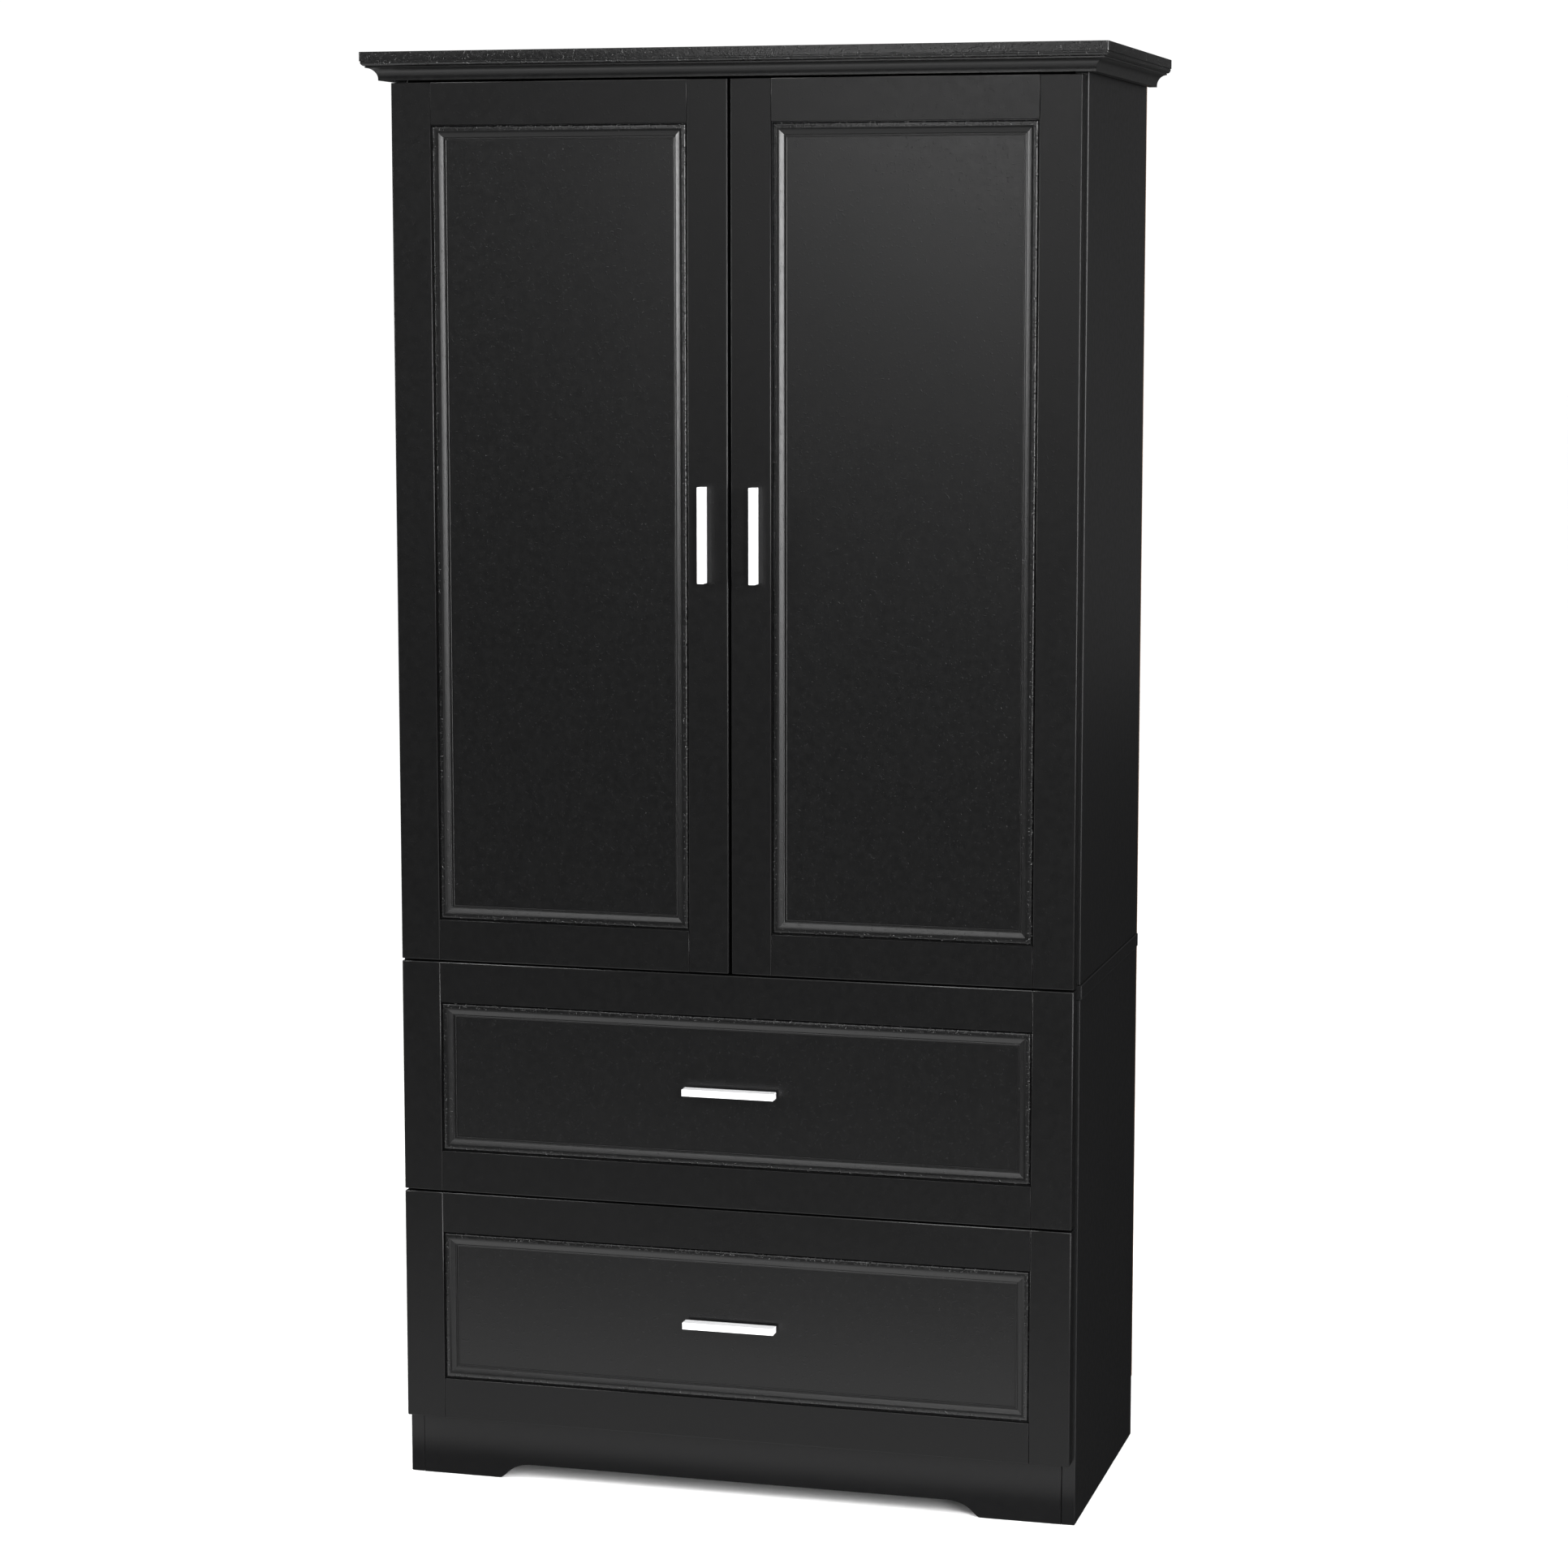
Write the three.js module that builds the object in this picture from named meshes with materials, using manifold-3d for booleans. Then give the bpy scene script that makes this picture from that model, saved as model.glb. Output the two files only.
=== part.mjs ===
// A black armoire: two framed doors over two framed drawers, on a shaped plinth, under a moulded crown.
// Millimetres, +Z up. The front faces -Y and +X is the viewer's right. The origin is on the floor,
// at the middle of the object's bounding box.
import * as THREE from "three";
import { mergeVertices } from "three/addons/utils/BufferGeometryUtils.js";
import Module from "manifold-3d";

const wasm = await Module();
wasm.setup();

// ---- Driving dimensions ----

const OVERALL_HEIGHT = 1580;
const CARCASS_WIDTH = 762;
const CARCASS_DEPTH = 350; // front edge of the sides to the back face of the back panel
const BOARD = 15; // sides, mid board, bottom board, shelves and plinth
const BACK_THICKNESS = 3;
const JOINT_GAP = 0.3; // between two pieces that touch

// Crown
const CROWN_SIDE_OVERHANG = 27;
const CROWN_FRONT_OVERHANG = 37;
const TOP_BOARD_THICKNESS = 15;
const TOP_EDGE_LIP = 10; // upright part of the moulded edge
const TOP_EDGE_STEP = 0.8; // quirk under the lip
const TOP_EDGE_TUCK = 4.5; // how far the edge tucks in at its underside
const COVE_HEIGHT = 15;
const COVE_TOP_INSET = 5; // inset of the cove's top edge from the crown's outer edge
const COVE_BOTTOM_INSET = 16;
const COVE_FILLET = 1.5; // upright strip under the cove
const NOSING_STEPS = 4;
const COVE_STEPS = 8;

// Fronts
const FRONT_GAP = 2.5; // between two fronts, one above the other, and under the crown
const DOOR_MEETING_GAP = 3;
const SIDE_REVEAL = 3; // carcass side to the edge of a front
const FRONT_STANDOFF = 2; // carcass front edge to the back of a front
const FRONT_THICKNESS = 18;
const RAIL_WIDTH = 45;
const DRAWER_FRONT_HEIGHT = 258;
const FRONT_OVER_PLINTH = 1; // lowest front's lower edge above the top of the plinth

// Tongue and groove between a frame and its panel
const GROOVE_DEPTH = 6;
const GROOVE_WIDTH = 6.6;
const GROOVE_FROM_BACK = 5;
const TONGUE_CLEARANCE = 0.3; // on each face of the tongue
const TONGUE_END_CLEARANCE = 1;

// Moulded panel: depths are below the face of the frame
const PANEL_BACK_RECESS = 2;
const GROUND_DEPTH = 3.6; // foot of the moulding's outer flank
const GROUND_WIDTH = 0.9;
const RIDGE_DEPTH = 0.9;
const RIDGE_INSET = 5.9;
const BEVEL_INSET = 12.9; // end of the inner bevel
const BEVEL_DEPTH = 3.8;
const FIELD_INSET = 16.2; // the flat field starts here, one small step down
const FIELD_DEPTH = 5;
const FIELD_STEP = 0.8;
const FLANK_FOOT_PULL = { across: 0.8, up: 1.8 }; // how the flank leaves its foot
const FLANK_CREST_PULL = 2.4; // how flat the flank runs into the ridge
const BEVEL_BOW = { across: 1, up: 0.4 }; // how far the bevel bulges from a straight slope
const FLANK_STEPS = 6;
const BEVEL_STEPS = 5;

// Handles
const HANDLE_LENGTH = 103;
const HANDLE_WIDTH = 7.5;
const HANDLE_PROJECTION = 13.5;
const HANDLE_EDGE = 0.9; // chamfer on the two long front edges
const DOOR_HANDLE_FROM_EDGE = 27; // handle's middle to the meeting edge of its door
const DOOR_HANDLE_CENTRE_Z = 1067;

// Carcass
const MID_BOARD_OVER_DOOR_EDGE = 1.5; // top of the mid board above the doors' lower edge
const MID_BOARD_PROUD = 1.5; // each end stands out past the side panels
const PLINTH_HEIGHT = 70;
const PLINTH_FOOT_WIDTH = 104; // flat part at each end that stands on the floor, side panel included
const PLINTH_RISE = 17;
const PLINTH_SWEEP = 40; // width of the S-curve from foot to cut-out
const PLINTH_SWEEP_PULL = [0.22, 0.25]; // shares of the sweep that keep its two ends flat
const PLINTH_SWEEP_STEPS = 12;
const SHELF_COUNT = 2;
const SHELF_SETBACK = 18; // shelf's front edge behind the carcass front edge
const SHELF_SIDE_CLEARANCE = 1;

// Drawer boxes and slides
const DRAWER_SIDE_GAP = 12.7;
const DRAWER_BOX_DEPTH = 322;
const DRAWER_BOX_FROM_FRONT_EDGE = { bottom: 33, top: 45 }; // how far the box stops short of its front
const DRAWER_BOARD = 12;
const DRAWER_BOTTOM_THICKNESS = 3;
const DRAWER_BOTTOM_UP = 10; // underside of the bottom above the lower edge of the sides
const DRAWER_GROOVE_DEPTH = 5;
const SLIDE_STEEL = 1.2;
const SLIDE_LENGTH = 320;
const SLIDE_HEIGHT = 36;
const SLIDE_RUNNING_GAP = 0.9; // between the two members
const SLIDE_RUNNER_END_GAP = 2.2; // runner flange to the cabinet member's web
const SLIDE_SETBACK = 3; // slide's front end behind the carcass front edge
const SLIDE_RUNNER_UP = 24; // runner flange above the lower edge of the drawer side
const SLIDE_FOOT_WIDTH = 10; // flange under the drawer side

// Concealed hinges
const HINGE_CUP_RADIUS = 17.5;
const HINGE_CUP_DEPTH = 11.5;
const HINGE_CUP_WALL = 1.2;
const HINGE_BORE_CLEARANCE = 0.3;
const HINGE_BORE_WALL = { edge: 2.7, groove: 0.2 }; // left beside the bore, at each side of the stile
const HINGE_FROM_DOOR_END = 100;
const HINGE_FLANGE = { across: 12, along: 50, thickness: 1.2 };
const HINGE_PLATE = { thickness: 2.5, depth: 40, height: 46, setback: 20 };
const HINGE_ARM = { thickness: 10, height: 14, end: 66 };
const HINGE_ARM_CLEARANCE = 1.2; // arm's front end behind the carcass front edge

const ROUND_SEGMENTS = 40;
const CUT_BEYOND = 1; // how far a cutting solid runs past the face it cuts
const MERGE_TOLERANCE = 1e-4;

// ---- Places that follow from the dimensions ----

const OVERALL_DEPTH = CARCASS_DEPTH + CROWN_FRONT_OVERHANG;
const CROWN_HALF_WIDTH = CARCASS_WIDTH / 2 + CROWN_SIDE_OVERHANG;
const CROWN_FRONT_Y = -OVERALL_DEPTH / 2;
const BACK_Y = OVERALL_DEPTH / 2;
const CARCASS_FRONT_Y = CROWN_FRONT_Y + CROWN_FRONT_OVERHANG;
const BOARDS_BACK_Y = BACK_Y - BACK_THICKNESS - JOINT_GAP;
const FRONT_BACK_Y = CARCASS_FRONT_Y - FRONT_STANDOFF;
const FRONT_FACE_Y = FRONT_BACK_Y - FRONT_THICKNESS;

const SIDE_OUTER_X = CARCASS_WIDTH / 2;
const SIDE_INNER_X = SIDE_OUTER_X - BOARD;
const FRONT_PAIR_WIDTH = CARCASS_WIDTH - 2 * SIDE_REVEAL;
const DOOR_WIDTH = (FRONT_PAIR_WIDTH - DOOR_MEETING_GAP) / 2;
const HINGE_BORE_RADIUS = HINGE_CUP_RADIUS + HINGE_BORE_CLEARANCE;
const HINGE_CUP_FROM_EDGE = HINGE_BORE_WALL.edge + HINGE_BORE_RADIUS;
const STILE_WIDTH = HINGE_CUP_FROM_EDGE + HINGE_BORE_RADIUS + HINGE_BORE_WALL.groove + GROOVE_DEPTH;

const TOP_BOARD_Z = OVERALL_HEIGHT - TOP_BOARD_THICKNESS;
const COVE_Z = TOP_BOARD_Z - COVE_HEIGHT;
const LOWER_DRAWER_Z = PLINTH_HEIGHT + FRONT_OVER_PLINTH;
const UPPER_DRAWER_Z = LOWER_DRAWER_Z + DRAWER_FRONT_HEIGHT + FRONT_GAP;
const DOOR_Z = UPPER_DRAWER_Z + DRAWER_FRONT_HEIGHT + FRONT_GAP;
const DOOR_HEIGHT = COVE_Z - FRONT_GAP - DOOR_Z;
const MID_BOARD_TOP_Z = DOOR_Z + MID_BOARD_OVER_DOOR_EDGE;
const MID_BOARD_Z = MID_BOARD_TOP_Z - BOARD;
const BOTTOM_BOARD_Z = PLINTH_HEIGHT + JOINT_GAP;

// ---- Materials ----

const finish = (color, roughness, metalness) =>
  new THREE.MeshStandardMaterial({ color, roughness, metalness });

const materials = {
  satinPaint: () => finish(0x1b1b1c, 0.42, 0),
  mouldedPaint: () => finish(0x1e1e1f, 0.5, 0),
  carcassPaint: () => finish(0x1a1a1b, 0.48, 0),
  backBoard: () => finish(0x151516, 0.7, 0),
  drawerBoard: () => finish(0x1f1f20, 0.6, 0),
  satinMetal: () => finish(0xe6e7ea, 0.3, 0.9),
  zincSteel: () => finish(0xb4b6b8, 0.35, 1),
  slideSteel: () => finish(0x2a2a2c, 0.4, 0.6),
};

// ---- Solids: three.js geometry, joined and cut with manifold-3d ----

function solidOf(geometry) {
  const bare = geometry.clone();
  bare.deleteAttribute("normal");
  bare.deleteAttribute("uv");
  const merged = mergeVertices(bare, MERGE_TOLERANCE);
  return new wasm.Manifold(
    new wasm.Mesh({
      numProp: 3,
      vertProperties: new Float32Array(merged.attributes.position.array),
      triVerts: new Uint32Array(merged.index.array),
    }),
  );
}

function geometryOf(solid) {
  const mesh = solid.getMesh();
  const geometry = new THREE.BufferGeometry();
  geometry.setAttribute("position", new THREE.BufferAttribute(mesh.vertProperties, 3));
  geometry.setIndex(new THREE.BufferAttribute(mesh.triVerts, 1));
  geometry.computeVertexNormals();
  return geometry;
}

// A box between two corners, [x, y, z] each.
function block(low, high) {
  const size = high.map((value, axis) => value - low[axis]);
  const middle = high.map((value, axis) => (value + low[axis]) / 2);
  return new THREE.BoxGeometry(...size).translate(...middle);
}

// An outline of [y, z] points swept along X.
function sweptAlongX(points, fromX, toX) {
  const shape = new THREE.Shape(points.map(([y, z]) => new THREE.Vector2(y, z)));
  const geometry = new THREE.ExtrudeGeometry(shape, { depth: toX - fromX, bevelEnabled: false });
  geometry.rotateX(Math.PI / 2).rotateZ(Math.PI / 2);
  return geometry.translate(fromX, 0, 0);
}

// An outline of [x, z] points swept along Y.
function sweptAlongY(points, fromY, toY) {
  const shape = new THREE.Shape(points.map(([x, z]) => new THREE.Vector2(x, z)));
  const geometry = new THREE.ExtrudeGeometry(shape, { depth: toY - fromY, bevelEnabled: false });
  return geometry.rotateX(Math.PI / 2).translate(0, toY, 0);
}

// An outline of [x, y] points swept along Z.
function sweptAlongZ(points, fromZ, toZ) {
  const shape = new THREE.Shape(points.map(([x, y]) => new THREE.Vector2(x, y)));
  const geometry = new THREE.ExtrudeGeometry(shape, { depth: toZ - fromZ, bevelEnabled: false });
  return geometry.translate(0, 0, fromZ);
}

// A round bar along Y, round the origin.
function roundAlongY(radius, fromY, toY) {
  return new THREE.CylinderGeometry(radius, radius, toY - fromY, ROUND_SEGMENTS)
    .translate(0, (fromY + toY) / 2, 0);
}

const armoire = new THREE.Group();
armoire.name = "armoire";

function addPiece(parent, name, geometry, material) {
  const mesh = new THREE.Mesh(geometry, material());
  mesh.name = name;
  parent.add(mesh);
  return mesh;
}

// ---- Crown: top board and cove moulding, mitred at the two front corners ----

// A profile is a list of [inset, z] from the crown's outer edge. The solid has it on three sides.
function crownSolid(profile, innerInset) {
  const lowZ = Math.min(...profile.map(([, z]) => z));
  const highZ = Math.max(...profile.map(([, z]) => z));
  const front = profile.map(([inset, z]) => [CROWN_FRONT_Y + inset, z]);
  const side = profile.map(([inset, z]) => [CROWN_HALF_WIDTH - inset, z]);
  const otherSide = side.map(([x, z]) => [-x, z]).reverse();
  const alongFront = sweptAlongX(
    [...front, [BACK_Y, highZ], [BACK_Y, lowZ]],
    -CROWN_HALF_WIDTH,
    CROWN_HALF_WIDTH,
  );
  const acrossSides = sweptAlongY([...side, ...otherSide], CROWN_FRONT_Y, BACK_Y);
  const solid = solidOf(alongFront).intersect(solidOf(acrossSides));
  if (innerInset === undefined) return solid;
  const inner = block(
    [-CROWN_HALF_WIDTH + innerInset.side, CROWN_FRONT_Y + innerInset.front, lowZ - CUT_BEYOND],
    [CROWN_HALF_WIDTH - innerInset.side, BACK_Y + CUT_BEYOND, highZ + CUT_BEYOND],
  );
  return solid.subtract(solidOf(inner));
}

function topBoardProfile() {
  const stepZ = OVERALL_HEIGHT - TOP_EDGE_LIP;
  const points = [[TOP_EDGE_TUCK, TOP_BOARD_Z]];
  const nosing = new THREE.EllipseCurve(
    TOP_EDGE_TUCK,
    stepZ - TOP_EDGE_STEP,
    TOP_EDGE_TUCK - TOP_EDGE_STEP,
    stepZ - TOP_EDGE_STEP - TOP_BOARD_Z,
    -Math.PI / 2,
    -Math.PI,
    true,
  );
  points.push(...nosing.getPoints(NOSING_STEPS).slice(1).map(({ x, y }) => [x, y]));
  points.push([0, stepZ]);
  points.push([0, OVERALL_HEIGHT]);
  return points;
}

function coveProfile() {
  const top = TOP_BOARD_Z - JOINT_GAP;
  const cove = new THREE.EllipseCurve(
    COVE_TOP_INSET,
    COVE_Z + COVE_FILLET,
    COVE_BOTTOM_INSET - COVE_TOP_INSET,
    top - COVE_Z - 2 * COVE_FILLET,
    0,
    Math.PI / 2,
    false,
  );
  const points = [[COVE_BOTTOM_INSET, COVE_Z]];
  points.push(...cove.getPoints(COVE_STEPS).map(({ x, y }) => [x, y]));
  points.push([COVE_TOP_INSET, top]);
  return points;
}

function buildCrown() {
  addPiece(armoire, "top_board", geometryOf(crownSolid(topBoardProfile())), materials.mouldedPaint);
  const innerInset = {
    side: CROWN_SIDE_OVERHANG - JOINT_GAP,
    front: CROWN_FRONT_OVERHANG - JOINT_GAP,
  };
  const moulding = crownSolid(coveProfile(), innerInset);
  addPiece(armoire, "crown_moulding", geometryOf(moulding), materials.mouldedPaint);
}

// ---- Carcass boards ----

function plinthOutline() {
  const half = SIDE_INNER_X - JOINT_GAP;
  const footEnd = SIDE_OUTER_X - PLINTH_FOOT_WIDTH;
  const points = [[-half, PLINTH_HEIGHT], [-half, 0]];
  const sweep = new THREE.CubicBezierCurve(
    new THREE.Vector2(-footEnd, 0),
    new THREE.Vector2(-footEnd + PLINTH_SWEEP_PULL[0] * PLINTH_SWEEP, 0),
    new THREE.Vector2(-footEnd + PLINTH_SWEEP_PULL[1] * PLINTH_SWEEP, PLINTH_RISE),
    new THREE.Vector2(-footEnd + PLINTH_SWEEP, PLINTH_RISE),
  );
  points.push(...sweep.getPoints(PLINTH_SWEEP_STEPS).map(({ x, y }) => [x, y]));
  const mirrored = points.map(([x, z]) => [-x, z]).reverse();
  return [...points, ...mirrored];
}

function buildCarcass() {
  const front = CARCASS_FRONT_Y;
  const back = BOARDS_BACK_Y;
  for (const [label, side] of [["left", -1], ["right", 1]]) {
    const xs = [side * SIDE_INNER_X, side * SIDE_OUTER_X].sort((a, b) => a - b);
    const upper = block(
      [xs[0], front, MID_BOARD_TOP_Z + JOINT_GAP],
      [xs[1], back, TOP_BOARD_Z - JOINT_GAP],
    );
    addPiece(armoire, `upper_${label}_side`, upper, materials.carcassPaint);
    const lower = block([xs[0], front, 0], [xs[1], back, MID_BOARD_Z - JOINT_GAP]);
    addPiece(armoire, `lower_${label}_side`, lower, materials.carcassPaint);
  }

  const midHalf = SIDE_OUTER_X + MID_BOARD_PROUD;
  const midBoard = block([-midHalf, front, MID_BOARD_Z], [midHalf, back, MID_BOARD_TOP_Z]);
  addPiece(armoire, "mid_board", midBoard, materials.carcassPaint);

  const innerHalf = SIDE_INNER_X - JOINT_GAP;
  const bottomBoard = block(
    [-innerHalf, front, BOTTOM_BOARD_Z],
    [innerHalf, back, BOTTOM_BOARD_Z + BOARD],
  );
  addPiece(armoire, "bottom_board", bottomBoard, materials.carcassPaint);

  const plinth = sweptAlongY(plinthOutline(), front, front + BOARD);
  addPiece(armoire, "plinth", plinth, materials.carcassPaint);

  const backPanel = block(
    [-SIDE_OUTER_X, BACK_Y - BACK_THICKNESS, PLINTH_HEIGHT],
    [SIDE_OUTER_X, BACK_Y, TOP_BOARD_Z - JOINT_GAP],
  );
  addPiece(armoire, "back_panel", backPanel, materials.backBoard);

  const shelfHalf = SIDE_INNER_X - SHELF_SIDE_CLEARANCE;
  const clearHeight = TOP_BOARD_Z - MID_BOARD_TOP_Z;
  const spacing = (clearHeight - SHELF_COUNT * BOARD) / (SHELF_COUNT + 1);
  for (let i = 0; i < SHELF_COUNT; i++) {
    const shelfZ = MID_BOARD_TOP_Z + spacing + i * (spacing + BOARD);
    const name = i === 0 ? "lower_shelf" : "upper_shelf";
    const shelf = block(
      [-shelfHalf, front + SHELF_SETBACK, shelfZ],
      [shelfHalf, back - JOINT_GAP, shelfZ + BOARD],
    );
    addPiece(armoire, name, shelf, materials.carcassPaint);
  }
}

// ---- Framed fronts: stiles, rails and a moulded panel, in the front's own frame ----
// Its lower left corner is at the origin, its face at y = 0 and its back at y = FRONT_THICKNESS.

const TONGUE_WIDTH = GROOVE_WIDTH - 2 * TONGUE_CLEARANCE;
const GROOVE_BACK_Y = FRONT_THICKNESS - GROOVE_FROM_BACK;
const GROOVE_FRONT_Y = GROOVE_BACK_Y - GROOVE_WIDTH;
const TONGUE_LENGTH = GROOVE_DEPTH - TONGUE_END_CLEARANCE;

// Cross-section [across, y] of a stile or rail whose grooved inner edge is at across = width.
function groovedOutline(width) {
  return [
    [0, 0],
    [width, 0],
    [width, GROOVE_FRONT_Y],
    [width - GROOVE_DEPTH, GROOVE_FRONT_Y],
    [width - GROOVE_DEPTH, GROOVE_BACK_Y],
    [width, GROOVE_BACK_Y],
    [width, FRONT_THICKNESS],
    [0, FRONT_THICKNESS],
  ];
}

// Height profile [inset, y] of the panel's moulding, from its outer edge to its flat field.
function mouldingProfile() {
  const flank = new THREE.CubicBezierCurve(
    new THREE.Vector2(GROUND_WIDTH, GROUND_DEPTH),
    new THREE.Vector2(GROUND_WIDTH + FLANK_FOOT_PULL.across, GROUND_DEPTH - FLANK_FOOT_PULL.up),
    new THREE.Vector2(RIDGE_INSET - FLANK_CREST_PULL, RIDGE_DEPTH),
    new THREE.Vector2(RIDGE_INSET, RIDGE_DEPTH),
  );
  const bevel = new THREE.QuadraticBezierCurve(
    new THREE.Vector2(RIDGE_INSET, RIDGE_DEPTH),
    new THREE.Vector2(
      (RIDGE_INSET + BEVEL_INSET) / 2 + BEVEL_BOW.across,
      (RIDGE_DEPTH + BEVEL_DEPTH) / 2 - BEVEL_BOW.up,
    ),
    new THREE.Vector2(BEVEL_INSET, BEVEL_DEPTH),
  );
  return {
    outer: flank.getPoints(FLANK_STEPS).map(({ x, y }) => [x, y]),
    inner: [
      ...bevel.getPoints(BEVEL_STEPS).map(({ x, y }) => [x, y]),
      [FIELD_INSET, FIELD_DEPTH - FIELD_STEP],
      [FIELD_INSET, FIELD_DEPTH],
    ],
  };
}

// The solid that lies under one moulding profile all round a rectangle: two crossed sweeps.
function crossedSweeps(width, height, section) {
  const far = [...section].reverse();
  const across = [...section, ...far.map(([inset, y]) => [width - inset, y])];
  const up = [
    ...section.map(([inset, y]) => [y, inset]),
    ...far.map(([inset, y]) => [y, height - inset]),
  ];
  const upright = sweptAlongZ(across, 0, height);
  const level = sweptAlongX(up, 0, width);
  return solidOf(upright).intersect(solidOf(level));
}

function panelSolid(width, height) {
  const backY = FRONT_THICKNESS - PANEL_BACK_RECESS;
  const { outer, inner } = mouldingProfile();
  const blank = crossedSweeps(width, height, [[0, backY], [0, GROUND_DEPTH], ...outer]);
  const recess = crossedSweeps(width, height, [
    [RIDGE_INSET, -CUT_BEYOND],
    ...inner,
  ]);
  const tongue = block(
    [-TONGUE_LENGTH, GROOVE_FRONT_Y + TONGUE_CLEARANCE, -TONGUE_LENGTH],
    [width + TONGUE_LENGTH, GROOVE_FRONT_Y + TONGUE_CLEARANCE + TONGUE_WIDTH, height + TONGUE_LENGTH],
  );
  return blank.subtract(recess).add(solidOf(tongue));
}

// Adds a front's five pieces to a group. The cups are bored into the stile named by bore.side.
function addFront(group, prefix, width, height, bore) {
  const innerWidth = width - 2 * STILE_WIDTH;
  const innerHeight = height - 2 * RAIL_WIDTH;

  for (const side of ["left", "right"]) {
    const outline = groovedOutline(STILE_WIDTH);
    const placed = side === "left" ? outline : outline.map(([x, y]) => [width - x, y]).reverse();
    let stile = solidOf(sweptAlongZ(placed, 0, height));
    if (bore && bore.side === side) {
      for (const z of bore.heights) {
        const hole = roundAlongY(
          HINGE_BORE_RADIUS,
          FRONT_THICKNESS - HINGE_CUP_DEPTH - HINGE_BORE_CLEARANCE,
          FRONT_THICKNESS + CUT_BEYOND,
        ).translate(bore.x, 0, z);
        stile = stile.subtract(solidOf(hole));
      }
    }
    addPiece(group, `${prefix}_${side}_stile`, geometryOf(stile), materials.satinPaint);
  }

  const railFrom = STILE_WIDTH + JOINT_GAP;
  const railTo = width - STILE_WIDTH - JOINT_GAP;
  for (const end of ["bottom", "top"]) {
    const outline = groovedOutline(RAIL_WIDTH).map(([across, y]) => [y, across]);
    const placed = end === "bottom"
      ? [...outline].reverse()
      : outline.map(([y, z]) => [y, height - z]);
    const body = solidOf(sweptAlongX(placed, railFrom, railTo));
    const railZ = end === "bottom" ? 0 : height - RAIL_WIDTH + GROOVE_DEPTH;
    const tenon = block(
      [railFrom - TONGUE_LENGTH, GROOVE_FRONT_Y + TONGUE_CLEARANCE, railZ],
      [railTo + TONGUE_LENGTH, GROOVE_FRONT_Y + TONGUE_CLEARANCE + TONGUE_WIDTH,
        railZ + RAIL_WIDTH - GROOVE_DEPTH],
    );
    const rail = body.add(solidOf(tenon));
    addPiece(group, `${prefix}_${end}_rail`, geometryOf(rail), materials.satinPaint);
  }

  const panel = panelSolid(innerWidth - 2 * JOINT_GAP, innerHeight - 2 * JOINT_GAP);
  const mesh = addPiece(group, `${prefix}_panel`, geometryOf(panel), materials.mouldedPaint);
  mesh.position.set(STILE_WIDTH + JOINT_GAP, 0, RAIL_WIDTH + JOINT_GAP);
}

// A bar handle, upright, with its middle at the origin and its back against y = 0.
function handleGeometry() {
  const half = HANDLE_WIDTH / 2;
  const outline = [
    [half, -JOINT_GAP],
    [-half, -JOINT_GAP],
    [-half, -HANDLE_PROJECTION + HANDLE_EDGE],
    [-half + HANDLE_EDGE, -HANDLE_PROJECTION],
    [half - HANDLE_EDGE, -HANDLE_PROJECTION],
    [half, -HANDLE_PROJECTION + HANDLE_EDGE],
  ];
  return sweptAlongZ(outline, -HANDLE_LENGTH / 2, HANDLE_LENGTH / 2);
}

// ---- Doors and their hinges ----

function cupSolid() {
  const outer = solidOf(roundAlongY(HINGE_CUP_RADIUS, -HINGE_CUP_DEPTH, JOINT_GAP));
  const flange = solidOf(block(
    [-HINGE_CUP_RADIUS, JOINT_GAP, -HINGE_FLANGE.across],
    [HINGE_FLANGE.across, JOINT_GAP + HINGE_FLANGE.thickness, HINGE_FLANGE.across],
  )).add(solidOf(block(
    [-HINGE_FLANGE.across, JOINT_GAP, -HINGE_FLANGE.along / 2],
    [0, JOINT_GAP + HINGE_FLANGE.thickness, HINGE_FLANGE.along / 2],
  )));
  const hollow = roundAlongY(
    HINGE_CUP_RADIUS - HINGE_CUP_WALL,
    -HINGE_CUP_DEPTH + HINGE_CUP_WALL,
    JOINT_GAP + HINGE_FLANGE.thickness + CUT_BEYOND,
  );
  const rim = solidOf(roundAlongY(HINGE_CUP_RADIUS, 0, JOINT_GAP + HINGE_FLANGE.thickness));
  return outer.add(rim).add(flange).subtract(solidOf(hollow));
}

// The hinge's carcass half for the right side: plate on the side panel, arm reaching forward.
function hingeArmSolid() {
  const panelX = SIDE_INNER_X - JOINT_GAP;
  const plateX = panelX - HINGE_PLATE.thickness;
  const plateY = CARCASS_FRONT_Y + HINGE_PLATE.setback;
  const plate = block(
    [plateX, plateY, -HINGE_PLATE.height / 2],
    [panelX, plateY + HINGE_PLATE.depth, HINGE_PLATE.height / 2],
  );
  const arm = block(
    [plateX - HINGE_ARM.thickness, CARCASS_FRONT_Y + HINGE_ARM_CLEARANCE, -HINGE_ARM.height / 2],
    [panelX, CARCASS_FRONT_Y + HINGE_ARM.end, HINGE_ARM.height / 2],
  );
  return solidOf(plate).add(solidOf(arm));
}

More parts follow.
